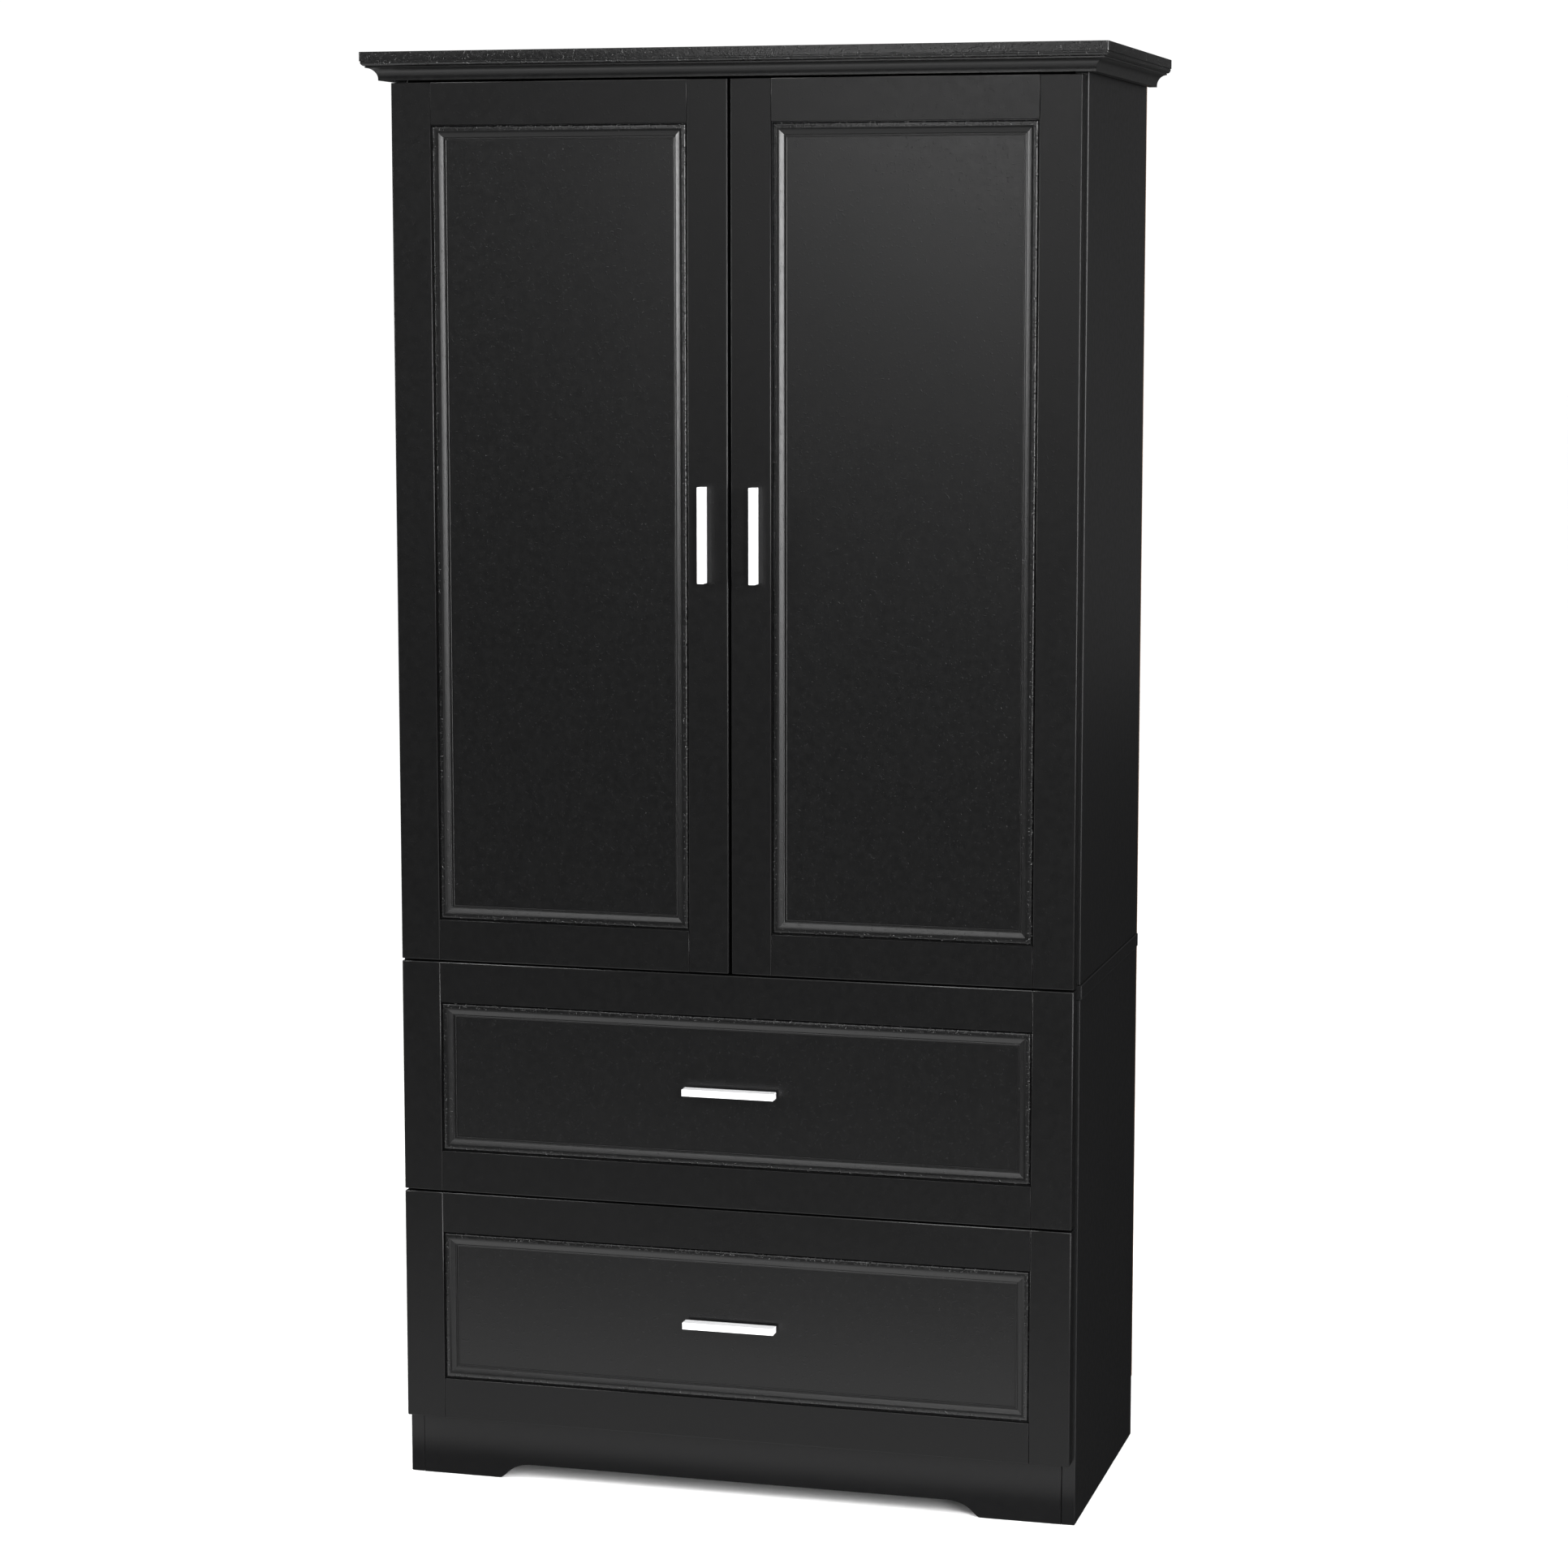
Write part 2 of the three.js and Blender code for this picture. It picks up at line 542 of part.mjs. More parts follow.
function buildDoors() {
  for (const [label, side] of [["left", -1], ["right", 1]]) {
    const door = new THREE.Group();
    const lowX = side < 0 ? -DOOR_MEETING_GAP / 2 - DOOR_WIDTH : DOOR_MEETING_GAP / 2;
    door.position.set(lowX, FRONT_FACE_Y, DOOR_Z);
    armoire.add(door);

    const cupX = side < 0 ? HINGE_CUP_FROM_EDGE : DOOR_WIDTH - HINGE_CUP_FROM_EDGE;
    const hinges = [
      ["lower", HINGE_FROM_DOOR_END],
      ["upper", DOOR_HEIGHT - HINGE_FROM_DOOR_END],
    ];
    const bore = { side: label, x: cupX, heights: hinges.map(([, z]) => z) };
    addFront(door, `${label}_door`, DOOR_WIDTH, DOOR_HEIGHT, bore);

    const handle = addPiece(door, `${label}_door_handle`, handleGeometry(), materials.satinMetal);
    const handleX = side < 0 ? DOOR_WIDTH - DOOR_HANDLE_FROM_EDGE : DOOR_HANDLE_FROM_EDGE;
    handle.position.set(handleX, 0, DOOR_HANDLE_CENTRE_Z - DOOR_Z);

    for (const [end, z] of hinges) {
      const cupName = `${label}_door_${end}_hinge_cup`;
      const cup = addPiece(door, cupName, geometryOf(cupSolid()), materials.zincSteel);
      cup.position.set(cupX, FRONT_THICKNESS, z);
      cup.scale.x = side;
      const armName = `${label}_door_${end}_hinge_arm`;
      const arm = addPiece(armoire, armName, geometryOf(hingeArmSolid()), materials.zincSteel);
      arm.position.z = DOOR_Z + z;
      arm.scale.x = side;
    }
  }
}

// ---- Drawers and their slides ----

const BOX_OUTER_X = SIDE_INNER_X - DRAWER_SIDE_GAP;
const BOX_INNER_X = BOX_OUTER_X - DRAWER_BOARD;
const BOX_FRONT_Y = FRONT_BACK_Y + JOINT_GAP;
const BOX_BACK_Y = FRONT_BACK_Y + DRAWER_BOX_DEPTH;
const BOX_HEIGHT =
  DRAWER_FRONT_HEIGHT - DRAWER_BOX_FROM_FRONT_EDGE.bottom - DRAWER_BOX_FROM_FRONT_EDGE.top;
const BOTTOM_TOP = DRAWER_BOTTOM_UP + DRAWER_BOTTOM_THICKNESS;

// Outline [x, z] of the right drawer side, with the groove that holds the bottom.
function drawerSideOutline() {
  const grooveLow = DRAWER_BOTTOM_UP - JOINT_GAP;
  const grooveHigh = BOTTOM_TOP + JOINT_GAP;
  return [
    [BOX_INNER_X, 0],
    [BOX_OUTER_X, 0],
    [BOX_OUTER_X, BOX_HEIGHT],
    [BOX_INNER_X, BOX_HEIGHT],
    [BOX_INNER_X, grooveHigh],
    [BOX_INNER_X + DRAWER_GROOVE_DEPTH, grooveHigh],
    [BOX_INNER_X + DRAWER_GROOVE_DEPTH, grooveLow],
    [BOX_INNER_X, grooveLow],
  ];
}

// Outline [x, z] of the right cabinet member: a channel open towards the drawer.
function cabinetSlideOutline() {
  const outer = SIDE_INNER_X - JOINT_GAP;
  const web = outer - SLIDE_STEEL;
  const lip = BOX_OUTER_X + JOINT_GAP + SLIDE_STEEL + SLIDE_RUNNING_GAP;
  const middle = SLIDE_RUNNER_UP - SLIDE_STEEL / 2;
  const low = middle - SLIDE_HEIGHT / 2;
  const high = middle + SLIDE_HEIGHT / 2;
  return [
    [lip, low],
    [outer, low],
    [outer, high],
    [lip, high],
    [lip, high - SLIDE_STEEL],
    [web, high - SLIDE_STEEL],
    [web, low + SLIDE_STEEL],
    [lip, low + SLIDE_STEEL],
  ];
}

// Outline [x, z] of the right drawer member: foot under the side, web up its face, runner flange out.
function drawerSlideOutline() {
  const web = BOX_OUTER_X + JOINT_GAP;
  const outer = web + SLIDE_STEEL;
  const footTop = -JOINT_GAP;
  const footLow = footTop - SLIDE_STEEL;
  const reach = SIDE_INNER_X - JOINT_GAP - SLIDE_STEEL - SLIDE_RUNNER_END_GAP;
  return [
    [BOX_OUTER_X - SLIDE_FOOT_WIDTH, footLow],
    [outer, footLow],
    [outer, SLIDE_RUNNER_UP - SLIDE_STEEL],
    [reach, SLIDE_RUNNER_UP - SLIDE_STEEL],
    [reach, SLIDE_RUNNER_UP],
    [web, SLIDE_RUNNER_UP],
    [web, footTop],
    [BOX_OUTER_X - SLIDE_FOOT_WIDTH, footTop],
  ];
}

function forSide(outline, side) {
  return side > 0 ? outline : outline.map(([x, z]) => [-x, z]).reverse();
}

function buildDrawers() {
  for (const [label, frontZ] of [["lower", LOWER_DRAWER_Z], ["upper", UPPER_DRAWER_Z]]) {
    const prefix = `${label}_drawer`;
    const front = new THREE.Group();
    front.position.set(-FRONT_PAIR_WIDTH / 2, FRONT_FACE_Y, frontZ);
    armoire.add(front);
    addFront(front, prefix, FRONT_PAIR_WIDTH, DRAWER_FRONT_HEIGHT);
    const handle = addPiece(front, `${prefix}_handle`, handleGeometry(), materials.satinMetal);
    handle.position.set(FRONT_PAIR_WIDTH / 2, 0, DRAWER_FRONT_HEIGHT / 2);
    handle.rotation.y = Math.PI / 2;

    const box = new THREE.Group();
    box.position.z = frontZ + DRAWER_BOX_FROM_FRONT_EDGE.bottom;
    armoire.add(box);
    const slideFrom = CARCASS_FRONT_Y + SLIDE_SETBACK;
    const slideTo = slideFrom + SLIDE_LENGTH;
    for (const [sideLabel, side] of [["left", -1], ["right", 1]]) {
      const board = sweptAlongY(forSide(drawerSideOutline(), side), BOX_FRONT_Y, BOX_BACK_Y);
      addPiece(box, `${prefix}_${sideLabel}_side`, board, materials.drawerBoard);
      const fixed = sweptAlongY(forSide(cabinetSlideOutline(), side), slideFrom, slideTo);
      addPiece(box, `${prefix}_${sideLabel}_cabinet_slide`, fixed, materials.slideSteel);
      const moving = sweptAlongY(
        forSide(drawerSlideOutline(), side),
        BOX_FRONT_Y,
        BOX_BACK_Y - JOINT_GAP,
      );
      addPiece(box, `${prefix}_${sideLabel}_drawer_slide`, moving, materials.slideSteel);
    }

    const backBoard = block(
      [-BOX_INNER_X + JOINT_GAP, BOX_BACK_Y - DRAWER_BOARD, BOTTOM_TOP + JOINT_GAP],
      [BOX_INNER_X - JOINT_GAP, BOX_BACK_Y, BOX_HEIGHT],
    );
    addPiece(box, `${prefix}_back`, backBoard, materials.drawerBoard);

    const bottomHalf = BOX_INNER_X + DRAWER_GROOVE_DEPTH - JOINT_GAP;
    const bottom = block(
      [-bottomHalf, BOX_FRONT_Y, DRAWER_BOTTOM_UP],
      [bottomHalf, BOX_BACK_Y, BOTTOM_TOP],
    );
    addPiece(box, `${prefix}_bottom`, bottom, materials.drawerBoard);
  }
}

buildCrown();
buildCarcass();
buildDoors();
buildDrawers();

export default armoire;
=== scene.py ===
"""The looks of a black armoire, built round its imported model.

Metres, +Z up. The front faces -Y and +X is the viewer's right.
"""

import math

import bmesh
import bpy
from mathutils import Matrix, Vector


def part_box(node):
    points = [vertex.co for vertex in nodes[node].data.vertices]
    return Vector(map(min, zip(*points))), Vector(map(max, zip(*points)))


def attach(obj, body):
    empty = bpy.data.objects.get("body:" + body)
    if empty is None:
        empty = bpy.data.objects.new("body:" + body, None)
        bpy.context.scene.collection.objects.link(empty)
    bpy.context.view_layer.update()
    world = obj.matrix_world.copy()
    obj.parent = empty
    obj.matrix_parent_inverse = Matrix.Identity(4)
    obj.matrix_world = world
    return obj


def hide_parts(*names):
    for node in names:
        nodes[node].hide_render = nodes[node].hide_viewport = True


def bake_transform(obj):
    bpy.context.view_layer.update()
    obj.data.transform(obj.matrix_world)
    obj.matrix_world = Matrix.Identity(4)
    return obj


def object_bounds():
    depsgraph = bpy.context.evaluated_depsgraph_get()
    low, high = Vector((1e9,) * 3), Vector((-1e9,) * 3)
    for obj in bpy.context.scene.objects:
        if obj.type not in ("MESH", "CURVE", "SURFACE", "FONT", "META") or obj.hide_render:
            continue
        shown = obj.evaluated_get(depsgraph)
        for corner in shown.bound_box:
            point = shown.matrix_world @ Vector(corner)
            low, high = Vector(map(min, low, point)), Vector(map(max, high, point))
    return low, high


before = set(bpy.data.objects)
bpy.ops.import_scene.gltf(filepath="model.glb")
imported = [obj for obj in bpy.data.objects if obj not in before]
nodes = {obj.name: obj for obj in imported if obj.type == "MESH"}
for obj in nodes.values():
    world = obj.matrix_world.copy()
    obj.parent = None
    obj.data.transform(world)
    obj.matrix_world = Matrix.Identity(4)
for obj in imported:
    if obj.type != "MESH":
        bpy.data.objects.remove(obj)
cad_low, cad_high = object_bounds()
scene = bpy.context.scene

MM = 0.001
TOUCH = 1e-5  # two coordinates this close are in one plane
FLAT_FACE = 0.99  # a face whose normal has this much of an axis looks along it

# ---- Camera ----

CAMERA_RIGHT = 1.1365  # from the object's middle plane
CAMERA_AHEAD = 4.1732  # in front of the middle of its footprint
CAMERA_HEIGHT = 1.346
CAMERA_TURN = 0.2630  # radians towards the object
CAMERA_TILT = 0.1308  # radians downwards
CAMERA_LENS = 89.4  # millimetres, as is the sensor
CAMERA_SENSOR = 36.0

middle = (Vector(cad_low) + Vector(cad_high)) / 2
camera_data = bpy.data.cameras.new("camera")
camera_data.lens = CAMERA_LENS
camera_data.sensor_width = CAMERA_SENSOR
camera = bpy.data.objects.new("camera", camera_data)
camera.location = (middle.x + CAMERA_RIGHT, middle.y - CAMERA_AHEAD, cad_low[2] + CAMERA_HEIGHT)
camera.rotation_euler = (math.pi / 2 - CAMERA_TILT, 0, CAMERA_TURN)
scene.collection.objects.link(camera)
scene.camera = camera

# ---- Studio ----

FLOOR_RADIUS = 40.0
FLOOR_SEGMENTS = 96
FLOOR_DROP = 0.4 * MM
FLOOR_ROUGHNESS = 0.9
FLOOR_CLOUDS = 0.7  # patches of tone per metre
FLOOR_PALE = (0.955, 0.955, 0.955)
FLOOR_PALER = (0.975, 0.975, 0.975)
SKY = (1.0, 1.0, 1.0, 1.0)
SKY_STRENGTH = 1.06
# The sky's strength in reflections, by the height of the direction they look in, from -1 to 1.
REFLECTED_SKY = ((-0.55, 0.60), (-0.42, 0.01), (0.0, 0.01), (0.3, 0.035), (0.65, 0.16))


def build_world():
    """White where it is seen and where it lights; in reflections it is a dim studio past its lamps."""
    world = bpy.data.worlds.new("studio")
    world.use_nodes = True
    tree = world.node_tree
    tree.nodes.clear()
    out = tree.nodes.new("ShaderNodeOutputWorld")
    mix = tree.nodes.new("ShaderNodeMixShader")
    path = tree.nodes.new("ShaderNodeLightPath")
    bright = tree.nodes.new("ShaderNodeBackground")
    bright.inputs["Color"].default_value = SKY
    bright.inputs["Strength"].default_value = SKY_STRENGTH
    dim = tree.nodes.new("ShaderNodeBackground")
    dim.inputs["Color"].default_value = SKY
    direction = tree.nodes.new("ShaderNodeTexCoord")
    split = tree.nodes.new("ShaderNodeSeparateXYZ")
    fade = tree.nodes.new("ShaderNodeMapRange")
    fade.inputs["From Min"].default_value = -1.0
    ramp = tree.nodes.new("ShaderNodeValToRGB")
    stops = ramp.color_ramp.elements
    while len(stops) < len(REFLECTED_SKY):
        stops.new(0.5)
    for stop, (height, strength) in zip(stops, REFLECTED_SKY):
        stop.position = (height + 1) / 2
        stop.color = (strength, strength, strength, 1)
    tree.links.new(direction.outputs["Generated"], split.inputs["Vector"])
    tree.links.new(split.outputs["Z"], fade.inputs["Value"])
    tree.links.new(fade.outputs["Result"], ramp.inputs["Fac"])
    tree.links.new(ramp.outputs["Color"], dim.inputs["Strength"])
    tree.links.new(path.outputs["Is Glossy Ray"], mix.inputs["Fac"])
    tree.links.new(bright.outputs["Background"], mix.inputs[1])
    tree.links.new(dim.outputs["Background"], mix.inputs[2])
    tree.links.new(mix.outputs["Shader"], out.inputs["Surface"])
    scene.world = world


def softbox(name, place, aim, width, height, watts):
    data = bpy.data.lights.new(name, "AREA")
    data.shape = "RECTANGLE"
    data.size = width
    data.size_y = height
    data.energy = watts
    light = bpy.data.objects.new(name, data)
    light.location = place
    light.rotation_euler = (Vector(aim) - Vector(place)).to_track_quat("-Z", "Y").to_euler()
    light.visible_camera = False
    scene.collection.objects.link(light)


# The lamps: name, place, the point that each faces, width, height and watts.
LAMPS = (
    ("key_right", (2.3, -3.3, 1.95), (0.0, 0.0, 1.1), 0.8, 2.3, 180),
    ("strip_left", (-3.4, -1.4, 2.02), (0.0, -0.1, 1.0), 0.5, 1.96, 106),
    ("overhead", (-1.0, -4.0, 4.2), (0.0, -0.1, 0.6), 3.0, 2.0, 70),
    ("front_glow", (-0.55, -4.4, 1.9), (0.2, 0.0, 1.45), 0.6, 0.6, 13.5),
    ("edge_right", (3.86, -1.04, 1.3), (0.3, -0.15, 0.9), 0.5, 2.4, 110),
    ("rear_right", (1.3, 3.4, 1.5), (0.38, 0.0, 1.2), 1.2, 2.0, 0.8),
)
# Light thrown up by the pale floor: bands in front of the object, as (near, far, brightness).
FLOOR_GLOW = ((0.2, 0.8, 1.02), (0.8, 2.0, 0.31), (2.0, 3.4, 0.05))
FLOOR_GLOW_X = -0.5
FLOOR_GLOW_WIDTH = 2.6
FLOOR_GLOW_HEIGHT = 0.02

build_world()
for name, place, aim, width, height, watts in LAMPS:
    softbox(name, place, aim, width, height, watts)
for near, far, glow in FLOOR_GLOW:
    place = (FLOOR_GLOW_X, -(near + far) / 2, FLOOR_GLOW_HEIGHT)
    above = (place[0], place[1], 1.0)
    watts = glow * math.pi * FLOOR_GLOW_WIDTH * (far - near)
    softbox(f"floor_glow_{near}", place, above, FLOOR_GLOW_WIDTH, far - near, watts)
scene.view_settings.view_transform = "Standard"

# ---- Materials ----


class Material:
    """A Principled material whose texture coordinates are metres in the object's rest frame."""

    def __init__(self, name, color, roughness, metallic=0.0):
        self.made = bpy.data.materials.new(name)
        self.made.use_nodes = True
        self.tree = self.made.node_tree
        self.shader = self.tree.nodes["Principled BSDF"]
        self.set("Base Color", (*color, 1))
        self.set("Roughness", roughness)
        self.set("Metallic", metallic)
        self.place = self.tree.nodes.new("ShaderNodeTexCoord").outputs["Object"]
        self.height = None

    def set(self, socket, value):
        self.shader.inputs[socket].default_value = value

    def link(self, output, socket):
        self.tree.links.new(output, socket)

    def scaled(self, scale):
        mapping = self.tree.nodes.new("ShaderNodeMapping")
        mapping.inputs["Scale"].default_value = scale
        self.link(self.place, mapping.inputs["Vector"])
        return mapping.outputs["Vector"]

    def noise(self, scale, detail=2.0, stretch=(1, 1, 1)):
        node = self.tree.nodes.new("ShaderNodeTexNoise")
        node.inputs["Scale"].default_value = scale
        node.inputs["Detail"].default_value = detail
        self.link(self.scaled(stretch), node.inputs["Vector"])
        return node.outputs["Fac"]

    def remap(self, value, low, high, from_low=0.3, from_high=0.7):
        node = self.tree.nodes.new("ShaderNodeMapRange")
        node.inputs["From Min"].default_value = from_low
        node.inputs["From Max"].default_value = from_high
        node.inputs["To Min"].default_value = low
        node.inputs["To Max"].default_value = high
        self.link(value, node.inputs["Value"])
        return node.outputs["Result"]

    def multiply_add(self, value, factor, added):
        node = self.tree.nodes.new("ShaderNodeMath")
        node.operation = "MULTIPLY_ADD"
        self.link(value, node.inputs[0])
        self.link(factor, node.inputs[1])
        node.inputs[2].default_value = added
        return node.outputs["Value"]

    def tint(self, value, dark, light):
        ramp = self.tree.nodes.new("ShaderNodeValToRGB")
        ramp.color_ramp.elements[0].color = (*dark, 1)
        ramp.color_ramp.elements[0].position = 0.3
        ramp.color_ramp.elements[1].color = (*light, 1)
        ramp.color_ramp.elements[1].position = 0.7
        self.link(value, ramp.inputs["Fac"])
        self.link(ramp.outputs["Color"], self.shader.inputs["Base Color"])

    def bump(self, value, depth):
        """Adds a layer of relief, depth metres from its lowest to its highest point."""
        node = self.tree.nodes.new("ShaderNodeBump")
        node.inputs["Distance"].default_value = depth
        node.inputs["Strength"].default_value = 1.0
        self.link(value, node.inputs["Height"])
        if self.height:
            self.link(self.height, node.inputs["Normal"])
        self.height = node.outputs["Normal"]
        self.link(self.height, self.shader.inputs["Normal"])

    def rough(self, value, low, high):
        self.link(self.remap(value, low, high), self.shader.inputs["Roughness"])


CLOUDS = 5.0  # all of these are features per metre
GLOSS_PATCHES = 150.0
FINE_PEEL = 620.0
COARSE_PEEL = 90.0
NIBS_TO_PEEL = 0.7  # how coarse the dust nibs are beside the orange peel
NIB_EDGE = 0.06  # how soft a nib's outline is, in the noise's own range


def satin_paint(name, color, roughness, specular, peel, grain=FINE_PEEL, nibs_above=0.74):
    """Sprayed satin paint: orange peel, dust nibs, and slightly uneven gloss."""
    paint = Material(name, color, roughness)
    paint.set("Specular IOR Level", specular)
    paint.tint(paint.noise(CLOUDS, 3.0), color, [channel * 1.12 for channel in color])
    paint.rough(paint.noise(GLOSS_PATCHES, 3.0), roughness - 0.02, roughness + 0.03)
    paint.bump(paint.noise(grain, 2.0), peel)
    paint.bump(paint.noise(COARSE_PEEL, 1.0), peel * 0.5)
    specks = paint.noise(NIBS_TO_PEEL * grain, 0.0)
    nibs = paint.remap(specks, 0.0, 1.0, nibs_above, nibs_above + NIB_EDGE)
    paint.bump(nibs, peel * 2.0)
    return paint.made


def board_foil(name, color, roughness):
    """Dull paper foil pressed with a faint upright grain."""
    foil = Material(name, color, roughness)
    foil.set("Specular IOR Level", 0.35)
    grain = foil.noise(scale=160.0, detail=4.0, stretch=(1, 1, 0.06))
    patches = foil.noise(scale=50.0)
    foil.tint(grain, color, [channel * 1.5 for channel in color])
    foil.rough(patches, roughness - 0.06, roughness + 0.08)
    foil.bump(grain, depth=0.02 * MM)
    return foil.made


def raw_hardboard(name):
    """Brown hardboard: matted fibres under darker and lighter flecks."""
    board = Material(name, (0.16, 0.09, 0.05), 0.8)
    board.set("Specular IOR Level", 0.2)
    fibres = board.noise(scale=900.0, detail=4.0, stretch=(1, 1, 0.35))
    flecks = board.noise(scale=60.0, detail=5.0)
    both = board.multiply_add(fibres, flecks, added=0.22)
    board.tint(both, dark=(0.105, 0.058, 0.032), light=(0.20, 0.118, 0.068))
    board.rough(flecks, low=0.72, high=0.9)
    board.bump(fibres, depth=0.06 * MM)
    return board.made


def brushed_metal(name, color, roughness, along, metallic=1.0):
    """Metal with fine scratches; along is the stretch that draws them out."""
    metal = Material(name, color, roughness, metallic)
    scratches = metal.noise(scale=1400.0, detail=3.0, stretch=along)
    metal.tint(scratches, [channel * 0.94 for channel in color], color)
    metal.rough(scratches, roughness - 0.05, roughness + 0.07)
    metal.bump(scratches, depth=0.006 * MM)
    return metal.made


def moulded_plastic(name, color, roughness):
    plastic = Material(name, color, roughness)
    grain = plastic.noise(scale=1100.0, detail=2.0)
    plastic.tint(grain, color, [channel * 1.15 for channel in color])
    plastic.rough(grain, roughness - 0.05, roughness + 0.08)
    plastic.bump(grain, depth=0.02 * MM)
    return plastic.made


BLACK = (0.0029, 0.0029, 0.0031)
# The fronts' black is the carcass's black made darker: painted shade on every front.
FRONT_SHADED_BLACK = (0.0013, 0.0013, 0.0014)
# The inside's black is the carcass's black made lighter: painted light against the shade inside.
INNER_LIT_BLACK = (0.010, 0.010, 0.0105)
PALE_METAL = (0.88, 0.88, 0.89)
# Each paint: name, colour, roughness, specular level and depth of its orange peel.
FRONT_PAINT = satin_paint("front_paint", FRONT_SHADED_BLACK, 0.34, 0.35, 0.026 * MM)
FRAME_PAINT = satin_paint("frame_paint", FRONT_SHADED_BLACK, 0.37, 0.29, 0.026 * MM)
MOULDED_PAINT = satin_paint("moulded_paint", FRONT_SHADED_BLACK, 0.32, 0.45, 0.035 * MM)
CARCASS_PAINT = satin_paint("carcass_paint", BLACK, 0.38, 0.35, 0.016 * MM)
INNER_PAINT = satin_paint("inner_paint", INNER_LIT_BLACK, 0.48, 0.32, 0.016 * MM)
# Paint on a routed edge, where the board's fibres stand up and make it rough.
ROUTED_PAINT = satin_paint(
    "routed_paint", FRONT_SHADED_BLACK, 0.30, 0.55, 0.30 * MM, grain=400.0, nibs_above=0.62
)
DRAWER_FOIL = board_foil("drawer_foil", (0.022, 0.022, 0.023), 0.55)
BOARD_FACE = board_foil("board_face", (0.018, 0.018, 0.019), 0.6)
HARDBOARD = raw_hardboard("raw_hardboard")
# Each metal: name, colour, roughness and the stretch along which it is brushed.
UPRIGHT_METAL = brushed_metal("upright_metal", PALE_METAL, 0.30, (1, 1, 0.02), metallic=0.30)
LEVEL_METAL = brushed_metal("level_metal", PALE_METAL, 0.30, (0.02, 1, 1), metallic=0.30)
NICKEL = brushed_metal("nickel", (0.62, 0.62, 0.61), 0.28, (1, 0.03, 1))
SCREW_ZINC = brushed_metal("screw_zinc", (0.58, 0.59, 0.60), 0.32, (1, 1, 1))
SLIDE_COAT = moulded_plastic("slide_coat", (0.030, 0.030, 0.032), 0.42)
ROLLER_NYLON = moulded_plastic("roller_nylon", (0.55, 0.55, 0.53), 0.5)

# ---- Making pieces ----


def link_piece(name, mesh, body, slot, *materials):
    piece = bpy.data.objects.new(name, mesh)
    scene.collection.objects.link(piece)
    for material in materials:
        mesh.materials.append(material)
    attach(piece, body)
    return piece


def mesh_from(shape, name, sharp_above=35.0):
    bmesh.ops.recalc_face_normals(shape, faces=shape.faces)
    for face in shape.faces:
        face.smooth = True
    mesh = bpy.data.meshes.new(name)
    shape.to_mesh(mesh)
    shape.free()
    mesh.set_sharp_from_angle(angle=math.radians(sharp_above))
    return mesh


def rings(loops):
    """A closed skin over loops of points, each with as many as the next, capped at both ends."""
    shape = bmesh.new()
    made = [[shape.verts.new(point) for point in loop] for loop in loops]
    count = len(made[0])
    for lower, upper in zip(made, made[1:]):
        for i in range(count):
            j = (i + 1) % count
            shape.faces.new((lower[i], lower[j], upper[j], upper[i]))
    shape.faces.new(made[0][::-1])
    shape.faces.new(made[-1])
    return shape


ROUND = 0.5  # a bevel's profile: a full round
EASED = 0.3  # nearly a flat chamfer


def bevel_edges(piece, width_of, segments=3, profile=ROUND):
    """Bevels each edge of a piece by the width that width_of gives for its two ends."""
    mesh = piece.data
    widths = []
    for edge in mesh.edges:
        a, b = (mesh.vertices[i].co for i in edge.vertices)
        widths.append(width_of(a, b))
    widest = max(widths)
    weights = mesh.attributes.new("bevel_weight_edge", "FLOAT", "EDGE")
    weights.data.foreach_set("value", [width / widest for width in widths])
    bevel = piece.modifiers.new("rounded_edges", "BEVEL")
    bevel.limit_method = "WEIGHT"
    bevel.offset_type = "OFFSET"
    bevel.width = widest
    bevel.segments = segments
    bevel.profile = profile
    bevel.harden_normals = profile == ROUND
    bevel.mark_sharp = profile != ROUND
    bevel.use_clamp_overlap = True


def apply_modifiers(piece):
    graph = bpy.context.evaluated_depsgraph_get()
    done = bpy.data.meshes.new_from_object(piece.evaluated_get(graph))
    piece.modifiers.clear()
    piece.data = done


def cut(piece, cutter_mesh):
    cutter = bpy.data.objects.new("cutter", cutter_mesh)
    scene.collection.objects.link(cutter)
    taken = piece.modifiers.new("taken_out", "BOOLEAN")
    taken.operation = "DIFFERENCE"
    taken.solver = "EXACT"
    taken.object = cutter
    apply_modifiers(piece)
    bpy.data.objects.remove(cutter)


def lathe(profile, steps=32):
    """A turned shape round Z from [radius, height] points; first and last are on the axis."""
    shape = bmesh.new()
    bottom = shape.verts.new((0, 0, profile[0][1]))
    top = shape.verts.new((0, 0, profile[-1][1]))
    turned = []
    for radius, height in profile[1:-1]:
        ring = []
        for i in range(steps):
            turn = 2 * math.pi * i / steps
            x, y = radius * math.cos(turn), radius * math.sin(turn)
            ring.append(shape.verts.new((x, y, height)))
        turned.append(ring)
    for i in range(steps):
        j = (i + 1) % steps
        shape.faces.new((bottom, turned[0][j], turned[0][i]))
        shape.faces.new((top, turned[-1][i], turned[-1][j]))
        for lower, upper in zip(turned, turned[1:]):
            shape.faces.new((lower[i], lower[j], upper[j], upper[i]))
    return shape


def arc(centre, radius, start, end, steps):
    """Points on an arc, from start to end in degrees."""
    points = []
    for i in range(steps + 1):
        turn = math.radians(start + (end - start) * i / steps)
        x = centre[0] + radius * math.cos(turn)
        y = centre[1] + radius * math.sin(turn)
        points.append((x, y))
    return points


def bezier(a, b, c, d, steps):
    """Points along a cubic curve in a plane, both ends included."""
    points = []
    for i in range(steps + 1):
        t = i / steps
        s = 1 - t
        shares = (s**3, 3 * s * s * t, 3 * s * t * t, t**3)
        points.append(tuple(sum(w * p[k] for w, p in zip(shares, (a, b, c, d))) for k in (0, 1)))
    return points


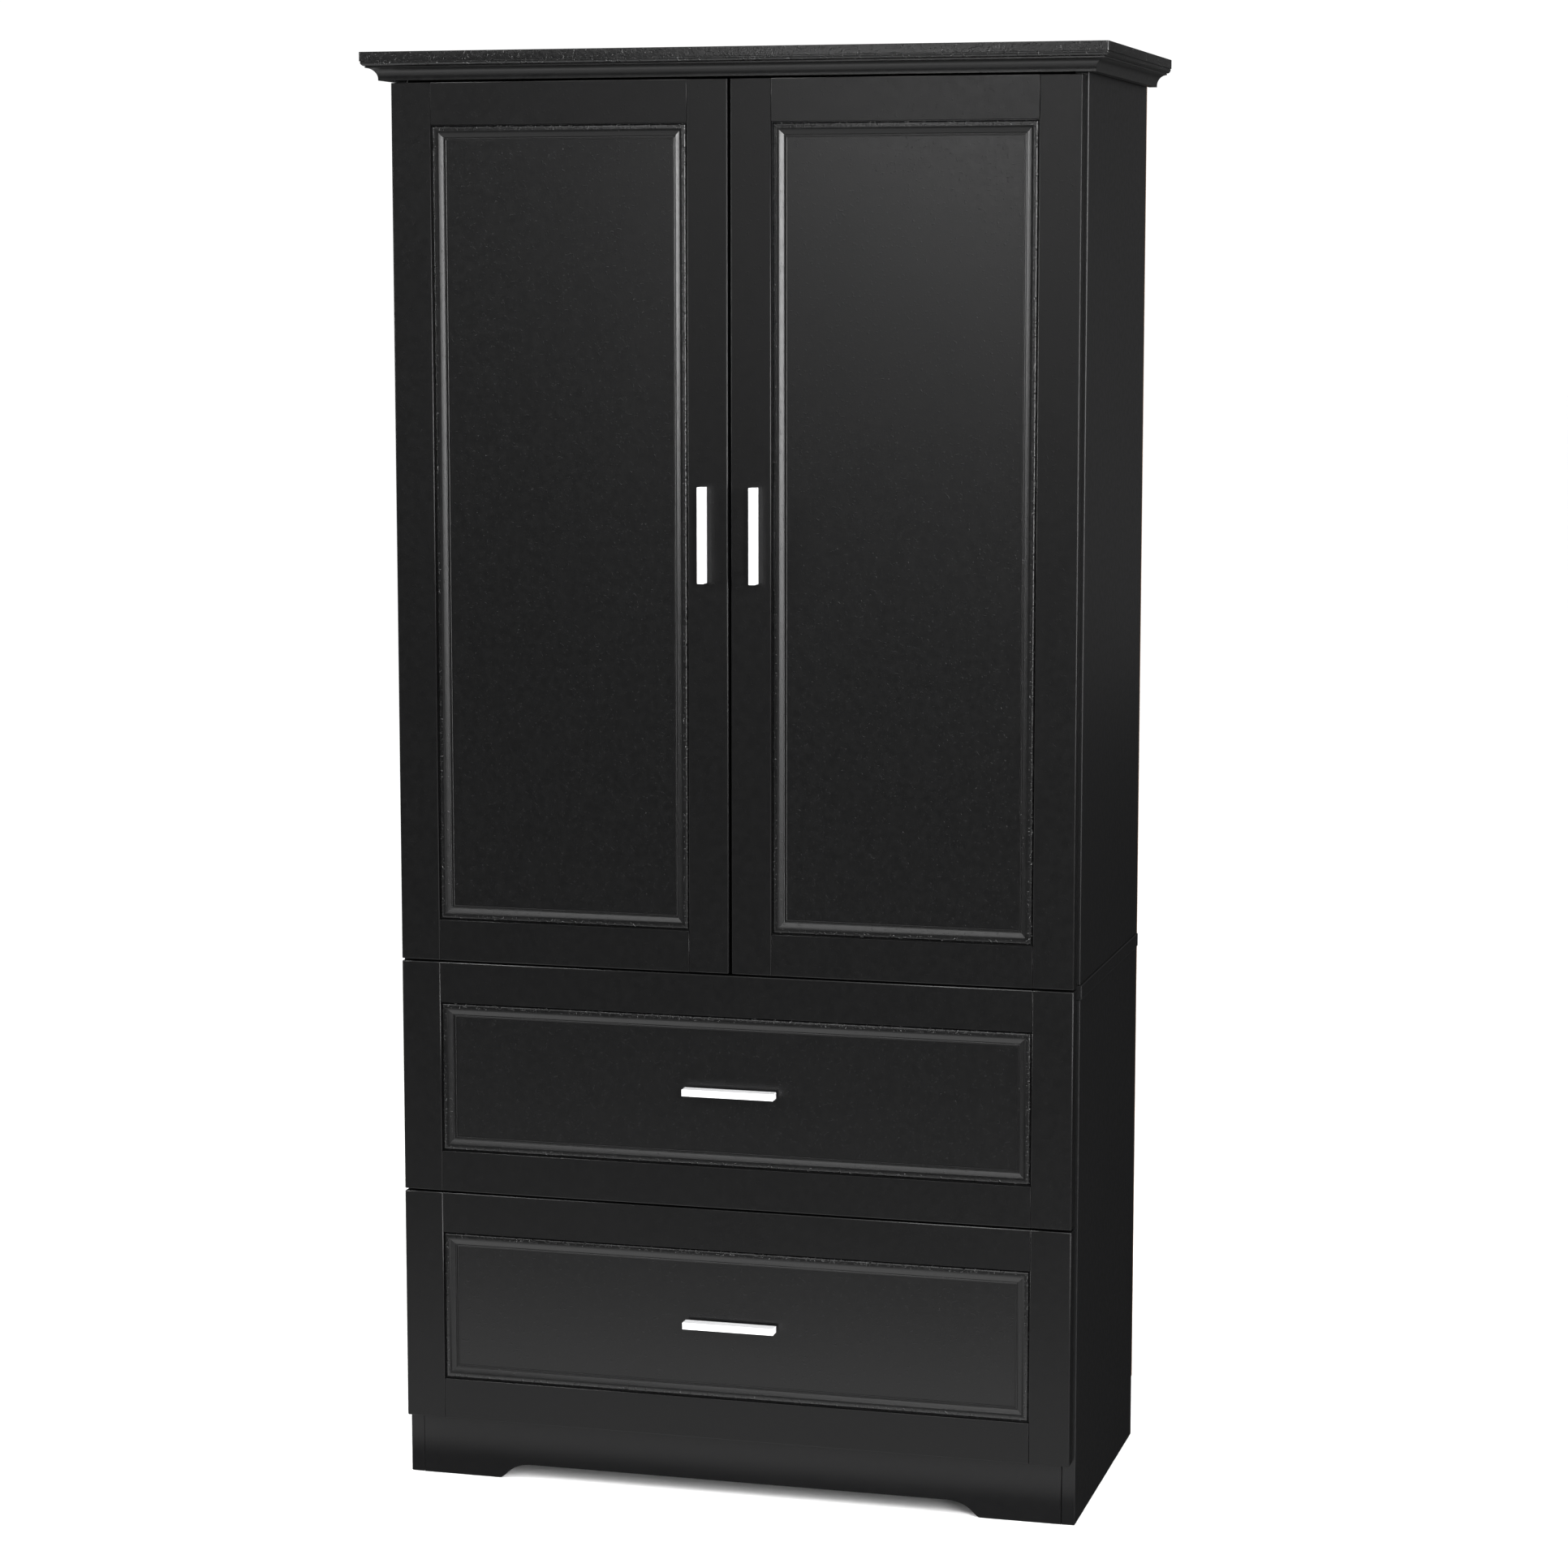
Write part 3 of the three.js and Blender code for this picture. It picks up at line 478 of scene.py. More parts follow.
def copies(name, mesh, places, body, slot, material):
    """One piece that holds a copy of a mesh at each place, a matrix."""
    shape = bmesh.new()
    for place in places:
        before = len(shape.verts)
        shape.from_mesh(mesh)
        shape.verts.ensure_lookup_table()
        bmesh.ops.transform(shape, matrix=place, verts=shape.verts[before:])
    return link_piece(name, mesh_from(shape, name), body, slot, material)


AXIS_TURN = {
    "+Z": Matrix.Identity(4),
    "-Z": Matrix.Rotation(math.pi, 4, "X"),
    "+Y": Matrix.Rotation(-math.pi / 2, 4, "X"),
    "-Y": Matrix.Rotation(math.pi / 2, 4, "X"),
    "+X": Matrix.Rotation(math.pi / 2, 4, "Y"),
    "-X": Matrix.Rotation(-math.pi / 2, 4, "Y"),
}


def at(place, axis="+Z"):
    """A matrix that stands a shape made along Z at a place, along an axis."""
    return Matrix.Translation(Vector(place)) @ AXIS_TURN[axis]


# ---- Crown: top board and three mitred lengths of cove ----

TOP_LIP = 10.0 * MM
TOP_QUIRK = 0.8 * MM
TOP_TUCK = 4.5 * MM
TOP_ARRIS = 0.7 * MM
LIP_ARRIS = 0.15 * MM
NOSE_STEPS = 8
COVE_STEPS = 16
COVE_TOP_INSET = 5.0 * MM
COVE_BOTTOM_INSET = 16.0 * MM
COVE_FILLET = 1.5 * MM
COVE_BACK_INSET = 25.0 * MM
MITRE_GAP = 0.12 * MM
CROWN_CORNER = 1.4 * MM
CORNER_STEPS = 4


def top_board_profile(low_z, high_z):
    """The board's moulded edge as (inset, z): a nosing, a quirk, and a lip with an arris."""
    lip_z = high_z - TOP_LIP
    nosing_top = lip_z - TOP_QUIRK
    nose_height = nosing_top - low_z
    profile = [(COVE_BOTTOM_INSET, low_z), (TOP_TUCK, low_z)]
    for i in range(1, NOSE_STEPS + 1):
        turn = math.pi / 2 * i / NOSE_STEPS
        inset = TOP_TUCK - (TOP_TUCK - TOP_QUIRK) * math.sin(turn)
        profile.append((inset, nosing_top - nose_height * math.cos(turn)))
    profile.append((TOP_QUIRK * 1.4, lip_z))
    profile += [(LIP_ARRIS, lip_z), (0, lip_z + LIP_ARRIS)]
    return profile + arc((TOP_ARRIS, high_z - TOP_ARRIS), TOP_ARRIS, 180, 90, CORNER_STEPS)


def build_top_board():
    low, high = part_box("top_board")
    loops = []
    for inset, z in top_board_profile(low.z, high.z):
        left, right, front = low.x + inset, high.x - inset, low.y + inset
        near = front + CROWN_CORNER
        loop = arc((left + CROWN_CORNER, near), CROWN_CORNER, 180, 270, CORNER_STEPS)
        loop += arc((right - CROWN_CORNER, near), CROWN_CORNER, 270, 360, CORNER_STEPS)
        loop += [(right, high.y), (left, high.y)]
        loops.append([(x, y, z) for x, y in loop])
    name = "top_board_moulded"
    mesh = mesh_from(rings(loops), name)
    piece = link_piece(name, mesh, "carcass", "carcass_paint", ROUTED_PAINT, CARCASS_PAINT)
    for face in mesh.polygons:
        face.material_index = int(abs(face.normal.z) > FLAT_FACE)
    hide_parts("top_board")


def cove_outline(low_z, high_z):
    """Cross-section of the cove as (inset, z), closed by its flat back."""
    outline = [(COVE_BACK_INSET, low_z), (COVE_BOTTOM_INSET, low_z)]
    rise = high_z - low_z - 2 * COVE_FILLET
    for i in range(COVE_STEPS + 1):
        turn = math.pi / 2 * i / COVE_STEPS
        inset = COVE_TOP_INSET + (COVE_BOTTOM_INSET - COVE_TOP_INSET) * math.cos(turn)
        outline.append((inset, low_z + COVE_FILLET + rise * math.sin(turn)))
    outline += [(COVE_TOP_INSET, high_z), (COVE_BACK_INSET, high_z)]
    return outline


def build_cove():
    low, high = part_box("crown_moulding")
    edge_low, edge_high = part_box("top_board")
    outline = cove_outline(low.z, high.z)
    front = [
        [(edge_low.x + inset + MITRE_GAP, edge_low.y + inset, z) for inset, z in outline],
        [(edge_high.x - inset - MITRE_GAP, edge_low.y + inset, z) for inset, z in outline],
    ]
    left = [
        [(edge_low.x + inset, edge_low.y + inset + MITRE_GAP, z) for inset, z in outline],
        [(edge_low.x + inset, high.y, z) for inset, z in outline],
    ]
    right = [
        [(edge_high.x - inset, edge_low.y + inset + MITRE_GAP, z) for inset, z in outline],
        [(edge_high.x - inset, high.y, z) for inset, z in outline],
    ]
    for name, loops in (("front", front), ("left", left), ("right", right)):
        title = f"crown_cove_{name}"
        mesh = mesh_from(rings(loops), title)
        piece = link_piece(title, mesh, "carcass", "carcass_paint", MOULDED_PAINT)
        if name == "front":
            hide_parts("crown_moulding")


# ---- Framed fronts ----

UPRIGHT_EASE = 1.3 * MM  # bevel widths: upright and level outer edges, back edges and seams
LEVEL_EASE = 0.8 * MM
BACK_EASE = 0.8 * MM
STILE_SEAM_EASE = 0.65 * MM
RAIL_SEAM_EASE = 0.3 * MM
FIT_GAP = 0.3 * MM  # left round a rail or panel where it meets its frame
GROOVE_DEPTH = 6.0 * MM
GROOVE_FRONT = 6.4 * MM  # from the face to the groove's front wall
GROOVE_BACK = 13.0 * MM
TONGUE_LENGTH = 5.0 * MM
TONGUE_SLACK = 0.3 * MM
PANEL_BACK_RECESS = 2.0 * MM
GLOSSIEST_RAIL = "right_door_top_rail"

# The panel's moulding: four curves, each by its control points (inset, depth) in millimetres.
FLANK = ((0.8, 3.6), (1.3, 1.7), (3.3, 0.9), (5.9, 0.9))
SLOPE = ((5.9, 0.9), (7.5, 1.0), (10.7, 2.6), (12.9, 3.7))
HOLLOW = ((13.0, 4.3), (13.2, 5.1), (14.2, 5.0), (14.9, 4.3))
BEAD = ((15.05, 4.2), (15.5, 4.1), (16.0, 4.3), (16.2, 5.0))
FLANK_STEPS = 12
SLOPE_STEPS = 10
HOLLOW_STEPS = 6
BEAD_STEPS = 5
FLANK_FIRST = 6  # the flank's first face in the panel's profile
MOULDING_SHARP = 28.0  # degrees


def grooved_outline(outer, inner, front, back):
    """Cross-section of a stile or rail from its outer to its inner edge, as (across, y)."""
    floor = inner - math.copysign(GROOVE_DEPTH, inner - outer)
    return [
        (outer, front),
        (inner, front),
        (inner, front + GROOVE_FRONT),
        (floor, front + GROOVE_FRONT),
        (floor, front + GROOVE_BACK),
        (inner, front + GROOVE_BACK),
        (inner, back),
        (outer, back),
    ]


def frame_edge_rule(low, high, seam_ease):
    """The bevel's width for an edge: wide on the front's outline, narrow along the seams."""

    def width_of(a, b):
        planes = 0
        for axis in (0, 1, 2):
            for limit in (low[axis], high[axis]):
                if abs(a[axis] - limit) < TOUCH and abs(b[axis] - limit) < TOUCH:
                    planes += 1
        at_back = abs(a.y - high.y) < TOUCH and abs(b.y - high.y) < TOUCH
        if planes >= 2:
            if at_back:
                return BACK_EASE
            return UPRIGHT_EASE if abs(a.z - b.z) > TOUCH else LEVEL_EASE
        on_face = abs(a.y - low.y) < TOUCH and abs(b.y - low.y) < TOUCH
        if planes == 1 and (on_face or at_back):
            return seam_ease
        return 0.0

    return width_of


def build_frame_piece(node, loops, low, high, body, bores=None):
    """A stile or rail; low and high are the corners of the whole front."""
    name = f"{node}_shaped"
    paint = FRONT_PAINT if node == GLOSSIEST_RAIL else FRAME_PAINT
    piece = link_piece(name, mesh_from(rings(loops), name), body, "front_paint", paint)
    seam_ease = STILE_SEAM_EASE if node.endswith("stile") else RAIL_SEAM_EASE
    bevel_edges(piece, frame_edge_rule(low, high, seam_ease), 3, EASED)
    if bores:
        cut(piece, bores)
    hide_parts(node)


def curve(controls, steps):
    """Points on a curve of the moulding, in metres."""
    return bezier(*[(inset * MM, depth * MM) for inset, depth in controls], steps)


def panel_profile():
    """The moulded panel from its back to its field, as (inset, depth under the frame's face)."""
    stile_low, stile_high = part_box("left_door_left_stile")
    tongue_front = GROOVE_FRONT + TONGUE_SLACK
    tongue_back = GROOVE_BACK - TONGUE_SLACK
    profile = [
        (0, stile_high.y - stile_low.y - PANEL_BACK_RECESS),
        (0, tongue_back),
        (-TONGUE_LENGTH, tongue_back),
        (-TONGUE_LENGTH, tongue_front),
        (0, tongue_front),
        (0, FLANK[0][1] * MM),
    ]
    profile += curve(FLANK, FLANK_STEPS)
    profile += curve(SLOPE, SLOPE_STEPS)[1:]
    profile += curve(HOLLOW, HOLLOW_STEPS)
    profile += curve(BEAD, BEAD_STEPS)
    return profile


def build_panel(node, low, high, body):
    """low and high are the corners of the opening in the frame, less the fitting gap."""
    loops = []
    for inset, depth in panel_profile():
        x0, x1 = low.x + inset, high.x - inset
        z0, z1 = low.z + inset, high.z - inset
        y = low.y + depth
        loops.append([(x0, y, z0), (x1, y, z0), (x1, y, z1), (x0, y, z1)])
    name = f"{node}_moulded"
    mesh = mesh_from(rings(loops), name, MOULDING_SHARP)
    piece = link_piece(name, mesh, body, "front_paint", MOULDED_PAINT, ROUTED_PAINT)
    for face in mesh.polygons:
        step = face.index // len(loops[0])
        face.material_index = int(FLANK_FIRST <= step < FLANK_FIRST + FLANK_STEPS)
    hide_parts(node)


HANDLE_ROUND = 0.6 * MM
HANDLE_END_ROUND = 0.36 * MM


def build_handle(node, body):
    low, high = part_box(node)
    level = high.x - low.x > high.z - low.z
    loops = [
        [(x, low.y, low.z), (x, high.y, low.z), (x, high.y, high.z), (x, low.y, high.z)]
        for x in (low.x, high.x)
    ]
    name = f"{node}_bar"
    metal = LEVEL_METAL if level else UPRIGHT_METAL
    piece = link_piece(name, mesh_from(rings(loops), name), body, "satin_metal", metal)
    along = 0 if level else 2

    def width_of(a, b):
        if abs(a.y - high.y) < TOUCH and abs(b.y - high.y) < TOUCH:
            return 0.0
        runs_along = abs(a[along] - b[along]) > TOUCH
        return HANDLE_ROUND if runs_along else HANDLE_END_ROUND

    bevel_edges(piece, width_of, 4)
    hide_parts(node)


def build_front(prefix, body, bores=None, bored_side=None):
    """A door or drawer front: two stiles between which two rails and the panel fit."""
    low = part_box(f"{prefix}_left_stile")[0]
    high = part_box(f"{prefix}_right_stile")[1]
    inner = {
        "left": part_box(f"{prefix}_left_stile")[1].x,
        "right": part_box(f"{prefix}_right_stile")[0].x,
        "bottom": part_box(f"{prefix}_bottom_rail")[1].z,
        "top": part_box(f"{prefix}_top_rail")[0].z,
    }
    outer = {"left": low.x, "right": high.x, "bottom": low.z, "top": high.z}
    for side in ("left", "right"):
        outline = grooved_outline(outer[side], inner[side], low.y, high.y)
        loops = [[(x, y, z) for x, y in outline] for z in (low.z, high.z)]
        held = bores if side == bored_side else None
        build_frame_piece(f"{prefix}_{side}_stile", loops, low, high, body, held)
    for end in ("bottom", "top"):
        outline = grooved_outline(outer[end], inner[end], low.y, high.y)
        ends = (inner["left"] + FIT_GAP, inner["right"] - FIT_GAP)
        loops = [[(x, y, z) for z, y in outline] for x in ends]
        build_frame_piece(f"{prefix}_{end}_rail", loops, low, high, body)
    opening_low = Vector((inner["left"] + FIT_GAP, low.y, inner["bottom"] + FIT_GAP))
    opening_high = Vector((inner["right"] - FIT_GAP, high.y, inner["top"] - FIT_GAP))
    build_panel(f"{prefix}_panel", opening_low, opening_high, body)
    build_handle(f"{prefix}_handle", body)


# ---- Carcass ----

BOARD_EASE = 0.7 * MM
SIDE_EASE = 0.9 * MM
MID_BOARD_EASE = 0.6 * MM
DRAWER_BOARD_EASE = 0.4 * MM
SHEET_EASE = 0.3 * MM
HINGE_ARM_EASE = 0.8 * MM
SHARP_CORNER = 40  # degrees; edges that turn by less stay as they are


def soften_node(node, material, width=BOARD_EASE, segments=2):
    """Eases the edges of a CAD piece that stays, and gives it its material."""
    piece = nodes[node]
    piece.data.materials.clear()
    piece.data.materials.append(material)
    weld = piece.modifiers.new("joined_corners", "WELD")
    weld.merge_threshold = TOUCH
    bevel = piece.modifiers.new("eased_edges", "BEVEL")
    bevel.limit_method = "ANGLE"
    bevel.angle_limit = math.radians(SHARP_CORNER)
    bevel.width = width
    bevel.segments = segments
    bevel.profile = EASED
    bevel.use_clamp_overlap = True


def build_carcass():
    for level in ("upper", "lower"):
        for side in ("left", "right"):
            soften_node(f"{level}_{side}_side", CARCASS_PAINT, SIDE_EASE, 3)
    soften_node("mid_board", CARCASS_PAINT, MID_BOARD_EASE)
    soften_node("bottom_board", INNER_PAINT)
    for shelf in ("lower_shelf", "upper_shelf"):
        soften_node(shelf, INNER_PAINT)


PLINTH_FOOT_FROM_END = 89.0 * MM
PLINTH_RISE = 17.0 * MM
PLINTH_SWEEP = 40.0 * MM  # the length over which the cut-out rises
PLINTH_PULL_LOW = 0.22  # where the curve's two control points lie, as shares of that length
PLINTH_PULL_HIGH = 0.25
PLINTH_STEPS = 32
PLINTH_ROUND = 0.5 * MM


def build_plinth():
    low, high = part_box("plinth")
    start = low.x + PLINTH_FOOT_FROM_END
    points = [(low.x, high.z), (low.x, low.z)]
    points += bezier(
        (start, low.z),
        (start + PLINTH_PULL_LOW * PLINTH_SWEEP, low.z),
        (start + PLINTH_PULL_HIGH * PLINTH_SWEEP, low.z + PLINTH_RISE),
        (start + PLINTH_SWEEP, low.z + PLINTH_RISE),
        PLINTH_STEPS,
    )
    outline = points + [(low.x + high.x - x, z) for x, z in reversed(points)]
    loops = [[(x, y, z) for x, z in outline] for y in (low.y, high.y)]
    name = "plinth_board"
    mesh = mesh_from(rings(loops), name)
    piece = link_piece(name, mesh, "carcass", "carcass_paint", CARCASS_PAINT)

    def width_of(a, b):
        runs_through = abs(a.y - b.y) > TOUCH
        return 0.0 if runs_through else PLINTH_ROUND

    bevel_edges(piece, width_of, 2)
    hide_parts("plinth")


NAIL_PROUD = 0.35 * MM  # a nail's head stands out by this, and the panel's face is set in by it


def build_back_panel():
    """Hardboard with a foil face inside and its raw face outside."""
    low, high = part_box("back_panel")
    loops = [
        [(low.x, y, low.z), (high.x, y, low.z), (high.x, y, high.z), (low.x, y, high.z)]
        for y in (low.y, high.y - NAIL_PROUD)
    ]
    name = "back_panel_board"
    mesh = mesh_from(rings(loops), name)
    piece = link_piece(name, mesh, "carcass", "hardboard", BOARD_FACE, HARDBOARD)
    for face in mesh.polygons:
        face.material_index = 0 if face.normal.y < -FLAT_FACE else 1
    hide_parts("back_panel")


# ---- Fittings ----

CROSS_REACH = 0.62  # half length of a screw's cross recess, as a share of the head's radius
CROSS_WIDTH = 0.16
CROSS_DEPTH = 0.6  # as a share of the head's height
FIXED_IN = 0.3 * MM  # how far a fitting's root is sunk in the board that holds it
HEAD_STEPS = 24


def box_mesh(low, high, name):
    (x0, y0, z0), (x1, y1, z1) = low, high
    loops = [[(x0, y0, z), (x1, y0, z), (x1, y1, z), (x0, y1, z)] for z in (z0, z1)]
    return mesh_from(rings(loops), name)


def screw_head(radius, height):
    """A pan head with a cross recess, standing along Z from its seat."""
    seat = 0.9 * radius
    profile = [(0, -FIXED_IN), (seat, -FIXED_IN), (seat, 0), (radius, 0)]
    profile += bezier(
        (radius, 0.25 * height),
        (radius, 0.8 * height),
        (0.7 * radius, height),
        (0.2 * radius, height),
        6,
    )
    profile.append((0, height))
    head_mesh = mesh_from(lathe(profile, HEAD_STEPS), "screw_head")
    head = bpy.data.objects.new("screw_head", head_mesh)
    scene.collection.objects.link(head)
    reach, half = CROSS_REACH * radius, CROSS_WIDTH * radius
    floor_z = (1 - CROSS_DEPTH) * height
    cut(head, box_mesh((-reach, -half, floor_z), (reach, half, 2 * height), "slot"))
    cut(head, box_mesh((-half, -reach, floor_z), (half, reach, 2 * height), "slot"))
    mesh = head.data
    bpy.data.objects.remove(head)
    return mesh


SMALL_SCREW = screw_head(radius=3.4 * MM, height=1.6 * MM)
LARGE_SCREW = screw_head(radius=4.0 * MM, height=2.0 * MM)

SIDE_SIGNS = (("left", -1), ("right", 1))
DOORS = ("left_door", "right_door")
DRAWERS = ("lower_drawer", "upper_drawer")

HINGE_BORE_CLEARANCE = 0.3 * MM
HINGE_EAR_ACROSS = 12.0 * MM
HINGE_EAR_SCREW_INSET = 4.1 * MM
HINGE_PLATE_FRONT = 20.0 * MM  # behind the carcass's front edge
HINGE_PLATE_DEPTH = 40.0 * MM
HINGE_PLATE_SCREW = 16.0 * MM  # above and below the arm's middle
HINGE_PLATE_THICKNESS = 2.5 * MM
HINGE_ARM_SCREW_AHEAD = 12.0 * MM  # of the plate's middle
HINGE_ARM_SCREW_BEHIND = 14.0 * MM
BORE_STEPS = 64
LINK_OFF_MIDDLE = 3.6 * MM  # each link lies this far above or below the hinge's middle
LINK_THICK = 1.4 * MM
LINK_WIDE = 7.0 * MM
LINK_FROM_CUP_FRONT = 2.5 * MM
LINK_UNDER_ARM = 18.0 * MM
LINK_STEPS = 16


def hinge_bores(door):
    """The round holes for a door's two hinge cups, as one cutting mesh."""
    shape = bmesh.new()
    for end in ("lower", "upper"):
        low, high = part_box(f"{door}_{end}_hinge_cup")
        radius = (high.x - low.x) / 2 + HINGE_BORE_CLEARANCE
        bottom = low.y - HINGE_BORE_CLEARANCE
        depth = high.y + radius - bottom
        place = at(((low.x + high.x) / 2, bottom, (low.z + high.z) / 2), "+Y")
        profile = [(0, 0), (radius, 0), (radius, depth), (0, depth)]
        before = len(shape.verts)
        shape.from_mesh(mesh_from(lathe(profile, BORE_STEPS), "bore"))
        shape.verts.ensure_lookup_table()
        bmesh.ops.transform(shape, matrix=place, verts=shape.verts[before:])
    return mesh_from(shape, "bores")


def build_hinge_links(door, end):
    """Two steel links from the arm into the cup."""
    cup_low, cup_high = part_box(f"{door}_{end}_hinge_cup")
    arm_low, arm_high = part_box(f"{door}_{end}_hinge_arm")
    x = (arm_low.x + arm_high.x) / 2
    z = (cup_low.z + cup_high.z) / 2
    half_wide, half_thick = LINK_WIDE / 2, LINK_THICK / 2
    first = cup_low.y + LINK_FROM_CUP_FRONT
    last = arm_low.y + LINK_UNDER_ARM
    for label, sign in (("low", -1), ("high", 1)):
        middle_z = z + sign * LINK_OFF_MIDDLE
        loops = []
        for i in range(LINK_STEPS + 1):
            y = first + (last - first) * i / LINK_STEPS
            loops.append(
                [
                    (x - half_wide, y, middle_z - half_thick),
                    (x + half_wide, y, middle_z - half_thick),
                    (x + half_wide, y, middle_z + half_thick),
                    (x - half_wide, y, middle_z + half_thick),
                ]
            )
        name = f"{door}_{end}_hinge_link_{label}"
        piece = bpy.data.objects.new(name, mesh_from(rings(loops), name))
        scene.collection.objects.link(piece)
        piece.data.materials.append(NICKEL)
        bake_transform(piece)


def build_hinges():
    """Each hinge's links, and the screws of its cup, plate and arm."""
    on_plates = []
    on_arms = []
    for side, sign in SIDE_SIGNS:
        door = f"{side}_door"
        on_cups = []
        inward = "-X" if sign > 0 else "+X"
        for end in ("lower", "upper"):
            low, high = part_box(f"{door}_{end}_hinge_cup")
            z = (low.z + high.z) / 2
            ear_x = (low.x + high.x) / 2 - sign * HINGE_EAR_ACROSS / 2
            for up in (low.z + HINGE_EAR_SCREW_INSET, high.z - HINGE_EAR_SCREW_INSET):
                on_cups.append(at((ear_x, high.y, up), "+Y"))
            low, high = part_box(f"{door}_{end}_hinge_arm")
            outer, inner = (high.x, low.x) if sign > 0 else (low.x, high.x)
            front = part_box("lower_left_side")[0].y + HINGE_PLATE_FRONT
            plate_x = outer - sign * HINGE_PLATE_THICKNESS
            middle = front + HINGE_PLATE_DEPTH / 2
            for up in (z - HINGE_PLATE_SCREW, z + HINGE_PLATE_SCREW):
                on_plates.append(at((plate_x, middle, up), inward))
            for along in (middle - HINGE_ARM_SCREW_AHEAD, middle + HINGE_ARM_SCREW_BEHIND):
                on_arms.append(at((inner, along, z), inward))
            build_hinge_links(door, end)
        copies(f"{door}_cup_screws", SMALL_SCREW, on_cups, door, "zinc_steel", SCREW_ZINC)
    copies("hinge_plate_screws", LARGE_SCREW, on_plates, "carcass", "zinc_steel", SCREW_ZINC)
    copies("hinge_arm_screws", SMALL_SCREW, on_arms, "carcass", "zinc_steel", SCREW_ZINC)


HANDLE_SCREW_APART = 76.0 * MM


def build_handle_screws():
    """Two screws behind each handle, from the inner face of the board that holds it."""
    for front in DOORS + DRAWERS:
        low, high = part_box(f"{front}_handle")
        centre = (low + high) / 2
        if front in DOORS:
            board = "right_stile" if front == "left_door" else "left_stile"
            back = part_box(f"{front}_{board}")[1].y
            offsets = [(0, HANDLE_SCREW_APART / 2), (0, -HANDLE_SCREW_APART / 2)]
        else:
            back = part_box(f"{front}_left_stile")[1].y - PANEL_BACK_RECESS
            offsets = [(HANDLE_SCREW_APART / 2, 0), (-HANDLE_SCREW_APART / 2, 0)]
        places = [at((centre.x + x, back, centre.z + z), "+Y") for x, z in offsets]
        copies(f"{front}_handle_screws", LARGE_SCREW, places, front, "zinc_steel", SCREW_ZINC)


PIN_RADIUS = 2.5 * MM
PIN_COLLAR_RADIUS = 3.75 * MM
PIN_COLLAR = 0.8 * MM
PIN_ROOT = 1.0 * MM
PIN_CHAMFER = 0.6 * MM
PIN_LENGTH = 8.0 * MM
PIN_STEPS = 24
PIN_FROM_SHELF_END = 45.0 * MM


def build_shelf_pins():
    """Two pins under each end of each shelf, standing out of the sides."""
    pin = lathe(
        [
            (0, -PIN_ROOT),
            (PIN_RADIUS, -PIN_ROOT),
            (PIN_RADIUS, 0),
            (PIN_COLLAR_RADIUS, 0),
            (PIN_COLLAR_RADIUS, PIN_COLLAR),
            (PIN_RADIUS, PIN_COLLAR + 0.1 * MM),
            (PIN_RADIUS, PIN_LENGTH - PIN_CHAMFER),
            (PIN_RADIUS - PIN_CHAMFER, PIN_LENGTH),
            (0, PIN_LENGTH),
        ],
        PIN_STEPS,
    )
    pin_mesh = mesh_from(pin, "shelf_pin")
    places = []
    for shelf in ("lower_shelf", "upper_shelf"):
        low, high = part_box(shelf)
        z = low.z - PIN_COLLAR_RADIUS
        for y in (low.y + PIN_FROM_SHELF_END, high.y - PIN_FROM_SHELF_END):
            places.append(at((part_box("upper_left_side")[1].x, y, z), "+X"))
            places.append(at((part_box("upper_right_side")[0].x, y, z), "-X"))
    copies("shelf_pins", pin_mesh, places, "carcass", "zinc_steel", NICKEL)


ROLLER_RADIUS = 8.0 * MM
ROLLER_WIDTH = 6.0 * MM
ROLLER_CHAMFER = 0.8 * MM
ROLLER_STEPS = 40
ROLLER_OFF_WEB = 0.9 * MM
AXLE_RADIUS = 2.2 * MM
AXLE_PROUD = 0.6 * MM
HUB_RADIUS = 3.4 * MM  # of the hollow round the axle, which narrows to HUB_FLOOR_RADIUS
HUB_FLOOR_RADIUS = 3.0 * MM
ROLLER_FROM_END = 10.0 * MM
ROLLER_DOWN = 9.3 * MM  # its axle under the runner flange's upper face
SLIDE_STEEL = 1.2 * MM
RUNNER_WEB_FROM_FOOT = 11.5 * MM  # the drawer member's web, from the inner edge of its foot
RUNNER_SCREW_FROM_FOOT = 5.0 * MM
RUNNER_SCREWS = (0.12, 0.5, 0.88)  # places along the slide, as shares of its length


